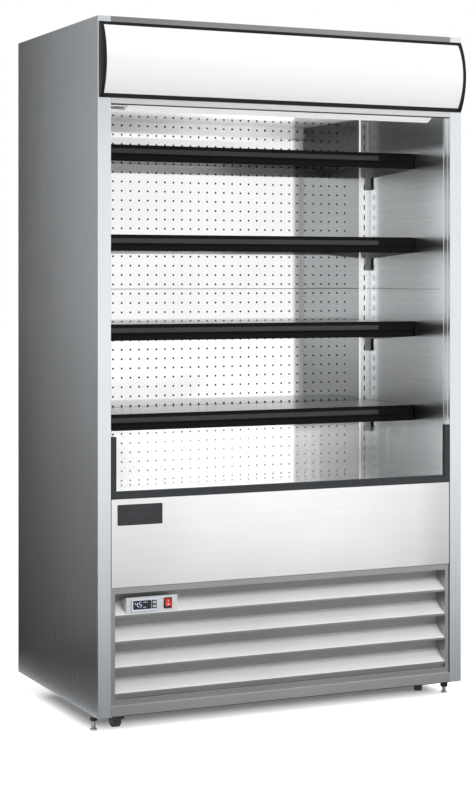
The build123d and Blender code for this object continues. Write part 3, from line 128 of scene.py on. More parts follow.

# %% [markdown]
# The floor is a pale matt sheet. A little light of its own brings it up to the white of the background, and
# the cooler's own soft shadow stays on it. Close to the cooler that light of its own fades, which paints
# shade under the cooler and just round it.

# %% Floor
FLOOR_TONE = 0.80
# Painted shade: the floor's own glow is low in a box under the cooler and rises outside it.
PAINTED_SHADE_HALF_SIZE = (0.53, 0.16, 0.0)  # in this box round the origin the floor hardly glows
DEPTH_SHARE = (1.0, 0.55, 1.0)  # a way towards the front or the back counts for about half
GLOW_REACH = 0.075  # in metres, from the edge of that box
GLOW_LOW, GLOW_HIGH = 0.08, 0.70

floor_mesh = bmesh.new()
bmesh.ops.create_grid(floor_mesh, x_segments=1, y_segments=1, size=40.0)
floor_data = bpy.data.meshes.new("floor")
floor_mesh.to_mesh(floor_data)
floor_mesh.free()
floor = bpy.data.objects.new("floor", floor_data)
bpy.context.scene.collection.objects.link(floor)

paint = bpy.data.materials.new("studio_floor")
paint.use_nodes = True
tree = paint.node_tree
tree.nodes.clear()
matt = add_node(tree, "ShaderNodeBsdfDiffuse")
matt.inputs["Color"].default_value = (FLOOR_TONE, FLOOR_TONE, FLOOR_TONE, 1)
glow = add_node(tree, "ShaderNodeEmission")
lift = add_node(tree, "ShaderNodeMath", operation="MULTIPLY")
connect(tree, seen_directly(tree), lift.inputs[0])
# The glow rises from a place inside the cooler's outline to one outside it, so the floor under the
# cooler gets painted shade on top of its real shadow, and the floor is white a little way off.
last = add_node(tree, "ShaderNodeTexCoord").outputs["Object"]
for operation, second in (("ABSOLUTE", None), ("SUBTRACT", PAINTED_SHADE_HALF_SIZE), ("MAXIMUM", (0.0, 0.0, 0.0)),
                          ("MULTIPLY", DEPTH_SHARE), ("LENGTH", None)):
    step = add_node(tree, "ShaderNodeVectorMath", operation=operation)
    connect(tree, last, step.inputs[0])
    if second is not None:
        step.inputs[1].default_value = second
    last = step.outputs["Value" if operation == "LENGTH" else "Vector"]
rise = add_node(tree, "ShaderNodeMapRange", interpolation_type="SMOOTHSTEP")
for label, value in (("From Min", 0.0), ("From Max", GLOW_REACH), ("To Min", GLOW_LOW),
                     ("To Max", GLOW_HIGH)):
    rise.inputs[label].default_value = value
connect(tree, last, rise.inputs["Value"])
connect(tree, rise.outputs["Result"], lift.inputs[1])
connect(tree, lift.outputs[0], glow.inputs["Strength"])
together = add_node(tree, "ShaderNodeAddShader")
connect(tree, matt.outputs[0], together.inputs[0])
connect(tree, glow.outputs[0], together.inputs[1])
floor_out = add_node(tree, "ShaderNodeOutputMaterial")
connect(tree, together.outputs[0], floor_out.inputs["Surface"])
floor_data.materials.append(paint)
print("floor glow from", GLOW_LOW, "to", GLOW_HIGH, "over", GLOW_REACH, "m")

# %% [markdown]
# ## The lamps
# Two large soft lamps give the matt pieces their shape: one in front and to the right, one overhead. Metal
# would mirror them as hard bright rectangles, so mirrored rays don't see them. Two small strips stand for
# the light that bounces about in the display space: one near its ceiling and one over its floor.


# %% Lamps
def soft_lamp(name, place, target, width, height, power):
    """A rectangular lamp that points from its place to a target."""
    lamp_data = bpy.data.lights.new(name, "AREA")
    lamp_data.shape = "RECTANGLE"
    lamp_data.size = width
    lamp_data.size_y = height
    lamp_data.energy = power
    lamp = bpy.data.objects.new(name, lamp_data)
    lamp.location = place
    lamp.rotation_euler = (Vector(target) - Vector(place)).to_track_quat("-Z", "Y").to_euler()
    lamp.visible_glossy = False
    bpy.context.scene.collection.objects.link(lamp)


soft_lamp("front_box", (1.2, -4.8, 4.2), (0, 0, 0.6), 3.0, 2.6, 250)
soft_lamp("top_box", (0, -0.9, 5.0), (0, -0.2, 0), 5.0, 4.0, 80)
soft_lamp("ceiling_glow", (0, 0.13, 1.69), (0, -0.28, 1.79), 1.06, 0.05, 2.4)
soft_lamp("deck_glow", (0.10, -0.09, 0.838), (0.10, 0.178, 0.70), 0.88, 0.06, 2.3)
print("lamps", [lamp.name for lamp in bpy.data.lights])

# %% [markdown]
# ## The grey cards
# A studio photographer hangs grey cards beside shiny metal, just outside the picture, so that the metal has
# darker things to show. Here one lies on the floor in front and grows lighter with the distance, and one
# hangs high behind the camera. On each side one stands upright and one lies on the floor. They are seen in
# reflections only, and they throw no shadow. A tone along a card is a colour ramp, and where a card has two
# ramps, their tones multiply.


# %% Grey cards
def tone_along(tree, place, axis, stops):
    """A colour ramp along an axis, through a list of (place along it, tone)."""
    along = add_node(tree, "ShaderNodeVectorMath", operation="DOT_PRODUCT")
    along.inputs[1].default_value = axis
    connect(tree, place, along.inputs[0])
    first, last = stops[0][0], stops[-1][0]
    span = add_node(tree, "ShaderNodeMapRange")
    span.inputs["From Min"].default_value = first
    span.inputs["From Max"].default_value = last
    connect(tree, along.outputs["Value"], span.inputs["Value"])
    ramp = add_node(tree, "ShaderNodeValToRGB")
    for number, (spot, tone) in enumerate(stops):
        share = (spot - first) / (last - first)
        if number in (0, len(stops) - 1):
            stop = ramp.color_ramp.elements[0 if number == 0 else -1]
            stop.position = share
        else:
            stop = ramp.color_ramp.elements.new(share)
        stop.color = (tone, tone, tone, 1)
    connect(tree, span.outputs["Result"], ramp.inputs["Fac"])
    return ramp.outputs["Color"]


def glowing_paint(name, ramps):
    """A material that glows with the product of its ramps; each ramp is (axis, stops)."""
    material = bpy.data.materials.new(name)
    material.use_nodes = True
    tree = material.node_tree
    tree.nodes.clear()
    place = add_node(tree, "ShaderNodeTexCoord")
    light = add_node(tree, "ShaderNodeEmission")
    product = None
    for axis, stops in ramps:
        tone = tone_along(tree, place.outputs["Object"], axis, stops)
        if product is None:
            product = tone
        else:
            times = add_node(tree, "ShaderNodeVectorMath", operation="MULTIPLY")
            connect(tree, product, times.inputs[0])
            connect(tree, tone, times.inputs[1])
            product = times.outputs[0]
    connect(tree, product, light.inputs["Color"])
    out = add_node(tree, "ShaderNodeOutputMaterial")
    connect(tree, light.outputs[0], out.inputs["Surface"])
    return material


def grey_card(name, centre, size_u, size_v, turn, *ramps):
    """A glowing card that only mirrored rays see."""
    shape = bmesh.new()
    bmesh.ops.create_grid(shape, x_segments=1, y_segments=1, size=0.5)
    bmesh.ops.scale(shape, vec=(size_u, size_v, 1), verts=shape.verts)
    bmesh.ops.transform(shape, matrix=Matrix.Translation(centre) @ turn, verts=shape.verts)
    data = bpy.data.meshes.new(name)
    shape.to_mesh(data)
    shape.free()
    data.materials.append(glowing_paint(name, ramps))
    card = bpy.data.objects.new(name, data)
    bpy.context.scene.collection.objects.link(card)
    for ray_kind in ("camera", "diffuse", "transmission", "volume_scatter", "shadow"):
        setattr(card, "visible_" + ray_kind, False)


facing_front = Matrix.Rotation(math.radians(90), 4, "X")
grey_card("front_card", (3.0, -8.33, 0.002), 16.0, 16.0, Matrix(),
          ((0, -1, 0), [(0.33, 0.25), (1.2, 0.34), (2.3, 0.52), (3.3, 0.84), (4.6, 0.97), (9.0, 1.05)]),
          ((1, 0.5, 0), [(-1.4, 0.92), (-0.95, 0.90), (-0.72, 1.08), (-0.37, 1.22), (0.0, 1.22), (0.3, 1.14),
                         (0.5, 1.04), (0.72, 0.82), (1.0, 0.97), (1.6, 1.05)]))
grey_card("left_card", (-1.55, 0.85, 1.5), 1.9, 3.4, facing_front,
          ((1, 0, 0), [(-2.4, 0.50), (-1.15, 0.46), (-0.72, 0.06)]),
          ((0, 0, 1), [(0.0, 0.30), (0.6, 0.56), (1.2, 0.90), (2.2, 1.0)]))
grey_card("left_floor_card", (-1.6, 0.2, 0.002), 1.9, 1.3, Matrix(),
          ((0, 1, 0), [(-0.45, 0.17), (0.10, 0.09), (0.80, 0.025)]))
grey_card("high_card", (1.1, -6.2, 2.95), 4.6, 1.7, facing_front,
          ((1, 0, 0), [(-1.2, 0.50), (1.6, 0.58), (2.6, 0.85), (3.4, 1.0)]))
facing_left = Matrix.Rotation(math.radians(90), 4, "Z") @ facing_front
grey_card("right_card", (2.7, 1.0, 1.5), 5.4, 3.4, facing_left,
          ((0, 0, 1), [(0.0, 0.24), (0.7, 0.40), (1.4, 0.58), (3.2, 0.72)]),
          ((0, 1, 0), [(-1.7, 0.90), (1.0, 1.0), (3.7, 0.85)]))
grey_card("right_floor_card", (1.66, 0.75, 0.002), 2.1, 2.2, Matrix(),
          ((1, 0, 0), [(0.61, 0.14), (1.6, 0.21), (2.7, 0.25)]))

# %% [markdown]
# ## Effects that several finishes share
# Brushed steel has fine streaks that all run one way, and handled surfaces have faint clouds of grease and
# dust. Each is made once as a node group and used with other values in each finish. The streaks are noise
# that is stretched along the grain: a low scale along it and a high scale across it. A third group gives a
# soft change of value from one place to another along an axis. In some steels it paints shade into the
# colour, darker towards one end, and in one it takes the sheet from matt to polished.


# %% Node groups
NOISE_LOW, NOISE_HIGH = 0.35, 0.65  # most of the noise lies between these


def new_group(name, inputs, outputs):
    """A node group with its sockets; each input is (name, kind, start value)."""
    group = bpy.data.node_groups.new(name, "ShaderNodeTree")
    for label, kind, start in inputs:
        socket = group.interface.new_socket(label, in_out="INPUT", socket_type=kind)
        if start is not None:
            socket.default_value = start
    for label, kind in outputs:
        group.interface.new_socket(label, in_out="OUTPUT", socket_type=kind)
    return group, add_node(group, "NodeGroupInput"), add_node(group, "NodeGroupOutput")


grain_group, grain_in, grain_out = new_group(
    "brushed_grain",
    [("Stretch", "NodeSocketVector", (1.0, 1.0, 1.0)), ("Contrast", "NodeSocketFloat", 0.1)],
    [("Tone", "NodeSocketFloat"), ("Height", "NodeSocketFloat")],
)
where = add_node(grain_group, "ShaderNodeTexCoord")
stretched = add_node(grain_group, "ShaderNodeVectorMath", operation="MULTIPLY")
connect(grain_group, where.outputs["Object"], stretched.inputs[0])
connect(grain_group, grain_in.outputs["Stretch"], stretched.inputs[1])
fine = add_node(grain_group, "ShaderNodeTexNoise", Scale=1.0, Detail=3.0, Roughness=0.6)
connect(grain_group, stretched.outputs[0], fine.inputs["Vector"])
centred = add_node(grain_group, "ShaderNodeMath", operation="SUBTRACT")
centred.inputs[1].default_value = 0.5
connect(grain_group, fine.outputs["Fac"], centred.inputs[0])
scaled = add_node(grain_group, "ShaderNodeMath", operation="MULTIPLY_ADD")
scaled.inputs[2].default_value = 1.0
connect(grain_group, centred.outputs[0], scaled.inputs[0])
connect(grain_group, grain_in.outputs["Contrast"], scaled.inputs[1])
connect(grain_group, scaled.outputs[0], grain_out.inputs["Tone"])
connect(grain_group, fine.outputs["Fac"], grain_out.inputs["Height"])

cloud_group, cloud_in, cloud_out = new_group(
    "soft_clouds",
    [("Scale", "NodeSocketFloat", 3.0), ("Low", "NodeSocketFloat", 0.95), ("High", "NodeSocketFloat", 1.05)],
    [("Tone", "NodeSocketFloat")],
)
cloud_where = add_node(cloud_group, "ShaderNodeTexCoord")
cloud_noise = add_node(cloud_group, "ShaderNodeTexNoise", Detail=2.0)
connect(cloud_group, cloud_where.outputs["Object"], cloud_noise.inputs["Vector"])
connect(cloud_group, cloud_in.outputs["Scale"], cloud_noise.inputs["Scale"])
cloud_range = add_node(cloud_group, "ShaderNodeMapRange")
cloud_range.inputs["From Min"].default_value = NOISE_LOW
cloud_range.inputs["From Max"].default_value = NOISE_HIGH
connect(cloud_group, cloud_noise.outputs["Fac"], cloud_range.inputs["Value"])
connect(cloud_group, cloud_in.outputs["Low"], cloud_range.inputs["To Min"])
connect(cloud_group, cloud_in.outputs["High"], cloud_range.inputs["To Max"])
connect(cloud_group, cloud_range.outputs["Result"], cloud_out.inputs["Tone"])

zone_group, zone_in, zone_out = new_group(
    "soft_zone",
    [("Axis", "NodeSocketVector", (0.0, 0.0, 1.0)), ("Start", "NodeSocketFloat", 0.0),
     ("End", "NodeSocketFloat", 1.0), ("Before", "NodeSocketFloat", 1.0), ("After", "NodeSocketFloat", 1.0)],
    [("Tone", "NodeSocketFloat")],
)
zone_where = add_node(zone_group, "ShaderNodeTexCoord")
zone_along = add_node(zone_group, "ShaderNodeVectorMath", operation="DOT_PRODUCT")
connect(zone_group, zone_where.outputs["Object"], zone_along.inputs[0])
connect(zone_group, zone_in.outputs["Axis"], zone_along.inputs[1])
zone_range = add_node(zone_group, "ShaderNodeMapRange", interpolation_type="SMOOTHSTEP")
connect(zone_group, zone_along.outputs["Value"], zone_range.inputs["Value"])
for label, socket in (("Start", "From Min"), ("End", "From Max"), ("Before", "To Min"), ("After", "To Max")):
    connect(zone_group, zone_in.outputs[label], zone_range.inputs[socket])
connect(zone_group, zone_range.outputs["Result"], zone_out.inputs["Tone"])
print("node groups", [group.name for group in bpy.data.node_groups])

# %% [markdown]
# ## The finishes
# A finish starts from one Principled shader whose plain values sit on its own sockets. The shared groups
# then vary its colour, roughness and surface height a little, which is what makes sheet metal look like
# sheet metal. Some steels also get painted shade or a painted reflection in their colour, darker towards
# one end.


# %% Finish helpers
def plain_finish(name, colour, metal=0.0, rough=0.5, **more):
    """A material with one Principled shader. More values are named after its sockets."""
    material = bpy.data.materials.new(name)
    material.use_nodes = True
    material.node_tree.nodes.clear()
    shader = add_node(material.node_tree, "ShaderNodeBsdfPrincipled")
    shader.inputs["Base Color"].default_value = (*colour, 1)
    shader.inputs["Metallic"].default_value = metal
    shader.inputs["Roughness"].default_value = rough
    for label, value in more.items():
        shader.inputs[label.replace("_", " ")].default_value = value
    out = add_node(material.node_tree, "ShaderNodeOutputMaterial")
    connect(material.node_tree, shader.outputs[0], out.inputs["Surface"])
    return material, shader


def tone_colour(material, shader, *tones):
    """Multiply the shader's base colour by one or more tones."""
    tree = material.node_tree
    colour = shader.inputs["Base Color"].default_value[:]
    last = None
    for tone in tones:
        mix = add_node(tree, "ShaderNodeVectorMath", operation="SCALE")
        if last is None:
            mix.inputs[0].default_value = colour[:3]
        else:
            connect(tree, last, mix.inputs[0])
        connect(tree, tone, mix.inputs["Scale"])
        last = mix.outputs[0]
    connect(tree, last, shader.inputs["Base Color"])


def use_group(material, group, **values):
    """Put a node group into a material and set its inputs."""
    node = material.node_tree.nodes.new("ShaderNodeGroup")
    node.node_tree = group
    for label, value in values.items():
        node.inputs[label].default_value = value
    return node


def bump(material, shader, height, strength, distance):
    """Let a height tilt the shader's normal."""
    node = add_node(material.node_tree, "ShaderNodeBump", Strength=strength, Distance=distance)
    connect(material.node_tree, height, node.inputs["Height"])
    connect(material.node_tree, node.outputs[0], shader.inputs["Normal"])


def steel(name, colour, rough, stretch, contrast=0.16, strength=0.06, metal=1.0, painted_shade_zones=(), dull=None):
    """Stainless steel with its grain along the direction in which the stretch is smallest.

    A painted shade zone is (axis, start, end, tone before, tone after): a tone that paints shade into the
    colour, darker towards one end. Dull is (start, end, metal, roughness): below its start the sheet has
    that metal and that roughness, and above its end it has its own.
    """
    material, shader = plain_finish(name, colour, metal, rough)
    grain = use_group(material, grain_group, Stretch=stretch, Contrast=contrast)
    cloud = use_group(material, cloud_group, Scale=2.5, Low=0.96, High=1.04)
    tones = [grain.outputs["Tone"], cloud.outputs["Tone"]]
    for axis, start, end, before, after in painted_shade_zones:
        zone = use_group(material, zone_group, Axis=axis, Start=start, End=end, Before=before, After=after)
        tones.append(zone.outputs["Tone"])
    tone_colour(material, shader, *tones)
    if dull is None:
        vary = add_node(material.node_tree, "ShaderNodeMath", operation="MULTIPLY")
        vary.inputs[1].default_value = rough
        connect(material.node_tree, grain.outputs["Tone"], vary.inputs[0])
        connect(material.node_tree, vary.outputs[0], shader.inputs["Roughness"])
    else:
        start, end, dull_metal, dull_rough = dull
        for socket, before, after in (("Metallic", dull_metal, metal), ("Roughness", dull_rough, rough)):
            zone = use_group(material, zone_group, Start=start, End=end, Before=before, After=after)
            connect(material.node_tree, zone.outputs["Tone"], shader.inputs[socket])
    bump(material, shader, grain.outputs["Height"], strength, distance=0.0004)
    return material


def cloudy(name, colour, metal=0.0, rough=0.5, scale=30.0, low=0.9, high=1.1, strength=0.05, **more):
    """A plain finish with small uneven patches in its colour and surface."""
    material, shader = plain_finish(name, colour, metal, rough, **more)
    cloud = use_group(material, cloud_group, Scale=scale, Low=low, High=high)
    tone_colour(material, shader, cloud.outputs["Tone"])
    bump(material, shader, cloud.outputs["Tone"], strength, distance=0.0005)
    return material


# %% Steel finishes
ALONG, ACROSS = 2.0, 420.0
UPRIGHT_GRAIN = (ACROSS, ACROSS, ALONG)
LEVEL_GRAIN = (ALONG, ACROSS, ACROSS)
WALL_GRAIN = (ACROSS, ALONG, ACROSS)

side_steel = steel("side_steel", (0.80, 0.835, 0.865), 0.28, UPRIGHT_GRAIN, strength=0.05)
# Painted shade: the front sheet's colour turns darker towards its right end.
front_steel = steel("front_steel", (0.93, 0.935, 0.94), 0.20, LEVEL_GRAIN, contrast=0.10, strength=0.04,
                    painted_shade_zones=[((1, 0, 0), 0.42, 0.53, 1.0, 0.82)])
# Painted shade: the header's strip above the canopy, over 1.98 m, is darker.
header_steel = steel("header_steel", (0.72, 0.73, 0.74), 0.30, LEVEL_GRAIN,
                     painted_shade_zones=[((0, 0, 1), 1.974, 1.984, 1.0, 0.42)])
frame_steel = steel("frame_steel", (0.46, 0.46, 0.465), 0.36, LEVEL_GRAIN)
# Lit and shaded copies of the louvre's steel: the lighter one for the faces that look up is painted light,
# and the darker one for the lips is painted shade.
blade_painted_light = steel("blade_painted_light", (0.68, 0.68, 0.675), 0.50, LEVEL_GRAIN, contrast=0.12, metal=0.12)
blade_painted_shade = steel("blade_painted_shade", (0.34, 0.34, 0.345), 0.36, LEVEL_GRAIN, metal=0.9)
# Painted shade: the inner walls' colour is much darker above the top shelf and darker below about 0.9 m.
wall_steel = steel("wall_steel", (0.92, 0.955, 0.975), 0.24, WALL_GRAIN, contrast=0.34, strength=0.08,
                   painted_shade_zones=[((0, 0, 1), 1.635, 1.685, 1.0, 0.16), ((0, 0, 1), 0.88, 1.22, 0.55, 1.0)])
# Painted shade: the header's inner side and the duct's ceiling grow darker towards the left.
pale_sheet = steel("pale_sheet", (0.90, 0.90, 0.90), 0.5, LEVEL_GRAIN, contrast=0.06, metal=0.0,
                   painted_shade_zones=[((1, 0, 0), -0.25, 0.35, 0.45, 1.0)])
upright_steel = steel("upright_steel", (0.98, 0.98, 0.98), 0.22, UPRIGHT_GRAIN, contrast=0.06, strength=0.02)
kick_steel = steel("kick_steel", (0.61, 0.62, 0.63), 0.30, LEVEL_GRAIN)
deck_steel = steel("deck_steel", (0.90, 0.90, 0.90), 0.12, LEVEL_GRAIN, contrast=0.06, strength=0.02)
# Painted reflection: the perforated back wall is much darker right of x = 0.28 m, where it mirrors the dark
# right wall.
panel_steel = steel("panel_steel", (0.93, 0.93, 0.93), 0.05, LEVEL_GRAIN, contrast=0.05, strength=0.008,
                    painted_shade_zones=[((1, 0, 0), 0.268, 0.284, 1.0, 0.42)],
                    dull=(0.775, 0.815, 0.10, 0.5))
rail_back = steel("rail_back", (0.85, 0.85, 0.85), 0.30, LEVEL_GRAIN)
# Darker copies of the louvre's steel for the blades' risers and the pod's front: painted shade.
riser_painted_shade = steel("riser_painted_shade", (0.31, 0.31, 0.31), 0.50, LEVEL_GRAIN, contrast=0.12, metal=0.3)
pod_painted_shade = steel("pod_painted_shade", (0.50, 0.505, 0.51), 0.50, LEVEL_GRAIN, contrast=0.12, metal=0.12)
# Painted shade: a nearly black copy of the steel for the sheets inside the dark duct.
duct_painted_shade = cloudy("duct_painted_shade", (0.05, 0.05, 0.052), metal=0.6, rough=0.6, scale=12.0)
shelf_steel = steel("shelf_steel", (0.62, 0.63, 0.64), 0.28, LEVEL_GRAIN)
zinc_sheet = cloudy("zinc_sheet", (0.46, 0.47, 0.49), metal=1.0, rough=0.42, scale=60.0, low=0.86, high=1.12)
print("materials so far", len(bpy.data.materials))

# %% Plastic, glass, rubber and light finishes
black_trim = cloudy("black_trim", (0.006, 0.006, 0.007), rough=0.30, scale=90.0, Specular_IOR_Level=0.2)
slate_trim = cloudy("slate_trim", (0.024, 0.027, 0.030), rough=0.34, scale=90.0, Specular_IOR_Level=0.3)
black_rail = cloudy("black_rail", (0.004, 0.004, 0.0045), rough=0.32, scale=120.0, Specular_IOR_Level=0.08)
bracket_paint = cloudy("bracket_paint", (0.20, 0.205, 0.21), metal=0.8, rough=0.38, scale=150.0)
badge_metal = cloudy("badge_metal", (0.035, 0.036, 0.040), metal=0.4, rough=0.34, scale=80.0)
control_black = cloudy("control_black", (0.012, 0.012, 0.013), rough=0.35, scale=200.0)
control_grey = cloudy("control_grey", (0.50, 0.54, 0.60), rough=0.42, scale=200.0, low=0.97, high=1.03)
key_plastic = cloudy("key_plastic", (0.42, 0.44, 0.47), rough=0.45, scale=200.0)
rocker_plastic = cloudy("rocker_plastic", (0.55, 0.015, 0.012), rough=0.25, scale=200.0)
wheel_rubber = cloudy("wheel_rubber", (0.012, 0.012, 0.013), rough=0.55, scale=150.0)
caster_paint = cloudy("caster_paint", (0.02, 0.02, 0.022), rough=0.38, scale=120.0)
foot_zinc = cloudy("foot_zinc", (0.45, 0.45, 0.44), metal=1.0, rough=0.36, scale=200.0)
pot_paint = cloudy("pot_paint", (0.015, 0.015, 0.016), rough=0.32, scale=60.0)
coil_metal = cloudy("coil_metal", (0.62, 0.63, 0.64), metal=1.0, rough=0.40, scale=90.0)
fan_plastic = cloudy("fan_plastic", (0.03, 0.03, 0.033), rough=0.5, scale=90.0)
copper_pipe = cloudy("copper_pipe", (0.72, 0.36, 0.22), metal=1.0, rough=0.32, scale=70.0)
tray_plastic = cloudy("tray_plastic", (0.18, 0.185, 0.19), rough=0.5, scale=60.0)
edge_seal = cloudy("edge_seal", (0.30, 0.31, 0.32), rough=0.6, scale=80.0)
foam = cloudy("foam", (0.78, 0.66, 0.38), rough=0.85, scale=140.0, strength=0.3)
lamp_glass = cloudy("lamp_glass", (0.85, 0.86, 0.86), rough=0.35, scale=20.0, low=0.98, high=1.0)
lit_sheet = cloudy("lit_sheet", (0.42, 0.425, 0.43), rough=0.22, scale=1.2, low=0.985, high=1.0,
                   Emission_Color=(1.0, 1.0, 1.0, 1.0), Emission_Strength=0.30)
diffuser = cloudy("diffuser", (0.70, 0.71, 0.72), rough=0.35, scale=6.0, low=0.97, high=1.0,
                  Emission_Color=(1.0, 1.0, 1.0, 1.0), Emission_Strength=0.35)
clear_glass = plain_finish("clear_glass", (0.94, 0.97, 0.96), rough=0.01, IOR=1.45,
                           Transmission_Weight=1.0, Alpha=0.16)[0]
print("materials so far", len(bpy.data.materials))

# %% [markdown]
# ## Where each finish goes
# Each CAD node is one pressed, cast or moulded piece, so it gets one finish. A few sheets look different on
# one side or in one part. They get a second finish on the faces that a small test picks out by their place
# and direction. On the louvre it paints light and shade, and in the duct it paints shade.

# %% Give each CAD node its finish
SHELVES = range(1, 5)
finish_of = {
    side_steel: ["side_skin_left", "side_skin_right", "roof_skin"],
    front_steel: ["front_panel"],
    header_steel: ["header_panel"],
    kick_steel: ["kick_rail"],
    frame_steel: ["louvre_frame"],
    blade_painted_shade: ["louvre_blades"],
    wall_steel: ["inner_liner"],
    pale_sheet: ["duct_ceiling"],
    upright_steel: ["uprights"],
    panel_steel: ["back_panel_upper", "back_panel_lower"],
    deck_steel: ["deck_panel", "return_grille"],
    shelf_steel: [f"shelf_board_{n}" for n in SHELVES],
    black_rail: [f"price_rail_{n}" for n in SHELVES],
    bracket_paint: [f"shelf_brackets_{n}" for n in SHELVES],
    zinc_sheet: ["rear_skin", "base_frame", "evaporator_fan_plate"],
    foam: ["insulation"],
    black_trim: ["canopy_frame"],
    slate_trim: ["glass_frame"],
    lit_sheet: ["canopy_front"],
    lamp_glass: ["canopy_lamps"],
    diffuser: ["lamp_diffuser"],
    clear_glass: ["front_glass"],
    badge_metal: ["badge_plate"],
    control_grey: ["controller"],
    control_black: ["switch_bezel"],
    key_plastic: ["key_up", "key_down"],
    rocker_plastic: ["switch_rocker"],
    wheel_rubber: [name for name in nodes if name.startswith("caster_wheel")],
    caster_paint: ["caster_plates", "caster_fork_left", "caster_fork_right"],
    foot_zinc: ["foot_left", "foot_right"],
    pot_paint: ["compressor"],
    coil_metal: ["condenser", "evaporator"],
    fan_plastic: ["condenser_fan", "evaporator_fan_left", "evaporator_fan_right"],
    copper_pipe: ["pipework"],
    tray_plastic: ["drain_tray"],
}
for material, names in finish_of.items():
    for name in names:
        slots = nodes[name].data.materials
        slots.clear()
        slots.append(material)
print("finished nodes", sum(len(names) for names in finish_of.values()), "of", len(nodes))


# %% Second finishes
def second_finish(node, material, chosen):
    """Give the faces of a node for which the test holds a second material."""
    mesh = nodes[node].data
    mesh.materials.append(material)
    count = 0
    for face in mesh.polygons:
        if chosen(face.center, face.normal):
            face.material_index = len(mesh.materials) - 1
            count += 1
    print(node, material.name, "faces", count)


# Limits in metres. The halves are half widths, and the other values are places.
DUCT_HALF, HEADER_HALF, BRACKET_HALF = 0.53, 0.545, 0.5412
HEADER_BACK, HEADER_FOOT = -0.28, 1.7
FOAM_FRONT, FOAM_TOP = -0.27, 1.9
POD_LEFT, POD_RIGHT, POD_FOOT, POD_TOP = -0.501, -0.343, 0.329, 0.377
BLADE_LIPS = -0.30  # the blades' lips and the pod lie in front of this, and their risers behind it


def on_pod(place):
    """Whether a place lies on the control pod, which the top blade carries."""
    return POD_LEFT < place.x < POD_RIGHT and POD_FOOT < place.z < POD_TOP and place.y < BLADE_LIPS


# A test gets a face's centre c, in metres, and its normal n.
# The sheets behind the perforated wall are nearly black, painted shade for the dark duct, so its holes look
# black.
behind_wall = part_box("back_panel_upper")[1].y + 0.01
second_finish("inner_liner", duct_painted_shade, lambda c, n: c.y > behind_wall and abs(c.x) < DUCT_HALF)
# The header's inner side is matt.
second_finish("inner_liner", pale_sheet,
              lambda c, n: c.y < HEADER_BACK and c.z > HEADER_FOOT and abs(c.x) < HEADER_HALF)
# The foam's front and top are sealed with grey tape.
second_finish("insulation", edge_seal,
              lambda c, n: c.y < FOAM_FRONT or n.y < -0.5 or (n.z > 0.5 and c.z > FOAM_TOP))
# The blades' sloping faces and the pod's sides get a lighter copy of the steel, a painted highlight, while
# the lips, the risers and the pod's front get darker copies, painted shade.
second_finish("louvre_blades", blade_painted_light, lambda c, n: n.z > 0.35 or (on_pod(c) and abs(n.x) > 0.5))
second_finish("louvre_blades", riser_painted_shade, lambda c, n: n.y < -0.9 and c.y > BLADE_LIPS)
second_finish("louvre_blades", pod_painted_shade, lambda c, n: on_pod(c) and n.y < -0.9)
# The rails are bright behind. So are the brackets in front, apart from their faces nearest the walls.
for number in SHELVES:
    second_finish(f"price_rail_{number}", rail_back, lambda c, n: n.y > 0.5)
    second_finish(f"shelf_brackets_{number}", upright_steel,
                  lambda c, n: n.y < -0.5 and abs(c.x) < BRACKET_HALF)

# %% [markdown]
# ## New pieces
# The CAD model leaves small formed details to Blender. Each one starts from a bmesh operator, is shaped by
# more of them, and rides on the body that carries it. The helpers below finish a shape, cut a block with
# rounded edges, turn a profile on a lathe, rotate points and thicken a flat shape. Places are in
# millimetres, with the depth as on a drawing, as the distance behind the front plane.


# %% Piece helpers
FRONT = -0.3325  # the front plane, in metres


def at(x, back, z):
    """A place from millimetres: across, behind the front plane, and up."""
    return Vector((x / 1000, FRONT + back / 1000, z / 1000))


def finish_piece(name, shape, material, body):
    """Merge doubles, turn the faces outwards and make the object."""
    bmesh.ops.remove_doubles(shape, verts=shape.verts, dist=1e-6)
    bmesh.ops.recalc_face_normals(shape, faces=shape.faces)
    data = bpy.data.meshes.new(name)
    shape.to_mesh(data)
    shape.free()
    data.materials.append(material)
    piece = bpy.data.objects.new(name, data)
    bpy.context.scene.collection.objects.link(piece)
    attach(piece, body)
    print(name, "faces", len(data.polygons), "rides on", body)


def rounded_block(shape, low, high, edge, segments=2):
    """Add a block between two corners (x, back, z) in millimetres, with its edges rounded."""
    a, b = at(*low), at(*high)
    corners = bmesh.ops.create_cube(shape, size=1.0)["verts"]
    bmesh.ops.scale(shape, vec=b - a, verts=corners)
    bmesh.ops.translate(shape, vec=(a + b) / 2, verts=corners)
    edges = list({e for v in corners for e in v.link_edges})
    bmesh.ops.bevel(shape, geom=edges, offset=edge / 1000, segments=segments, profile=0.5, affect="EDGES",
                    material=-1)


def lathe(shape, profile, centre, axis, steps):
    """Turn a profile of (radius, height) in millimetres about an axis through a centre."""
    axis = Vector(axis).normalized()
    side = axis.orthogonal().normalized()
    ring = [shape.verts.new(centre + side * r / 1000 + axis * h / 1000) for r, h in profile]
    line = [shape.edges.new(pair) for pair in zip(ring, ring[1:])]
    bmesh.ops.spin(shape, geom=ring + line, cent=centre, axis=axis, angle=math.tau, steps=steps,
                   use_merge=True)


def rotate(shape, verts, degrees, axis, about=(0, 0, 0)):
    """Rotate points by an angle about an axis through a place."""
    turn = Matrix.Rotation(math.radians(degrees), 3, axis)
    bmesh.ops.rotate(shape, cent=about, matrix=turn, verts=verts)


def thicken(shape, move):
    """Extrude all faces and move the new points by a vector in metres."""
    made = bmesh.ops.extrude_face_region(shape, geom=shape.faces[:])["geom"]
    bmesh.ops.translate(shape, vec=move, verts=[v for v in made if isinstance(v, bmesh.types.BMVert)])


# %% [markdown]
# ## The controller's window
# A dark pane lies in the recess of the controller and shows a temperature in seven-segment digits. A
# segment is a six-sided ring of points that is stretched to a bar with pointed ends, so digits are just
# bars in a grid. Round dots stand for the lamps that show what the machine does. Five thin dark bars make
# the field round the keys.

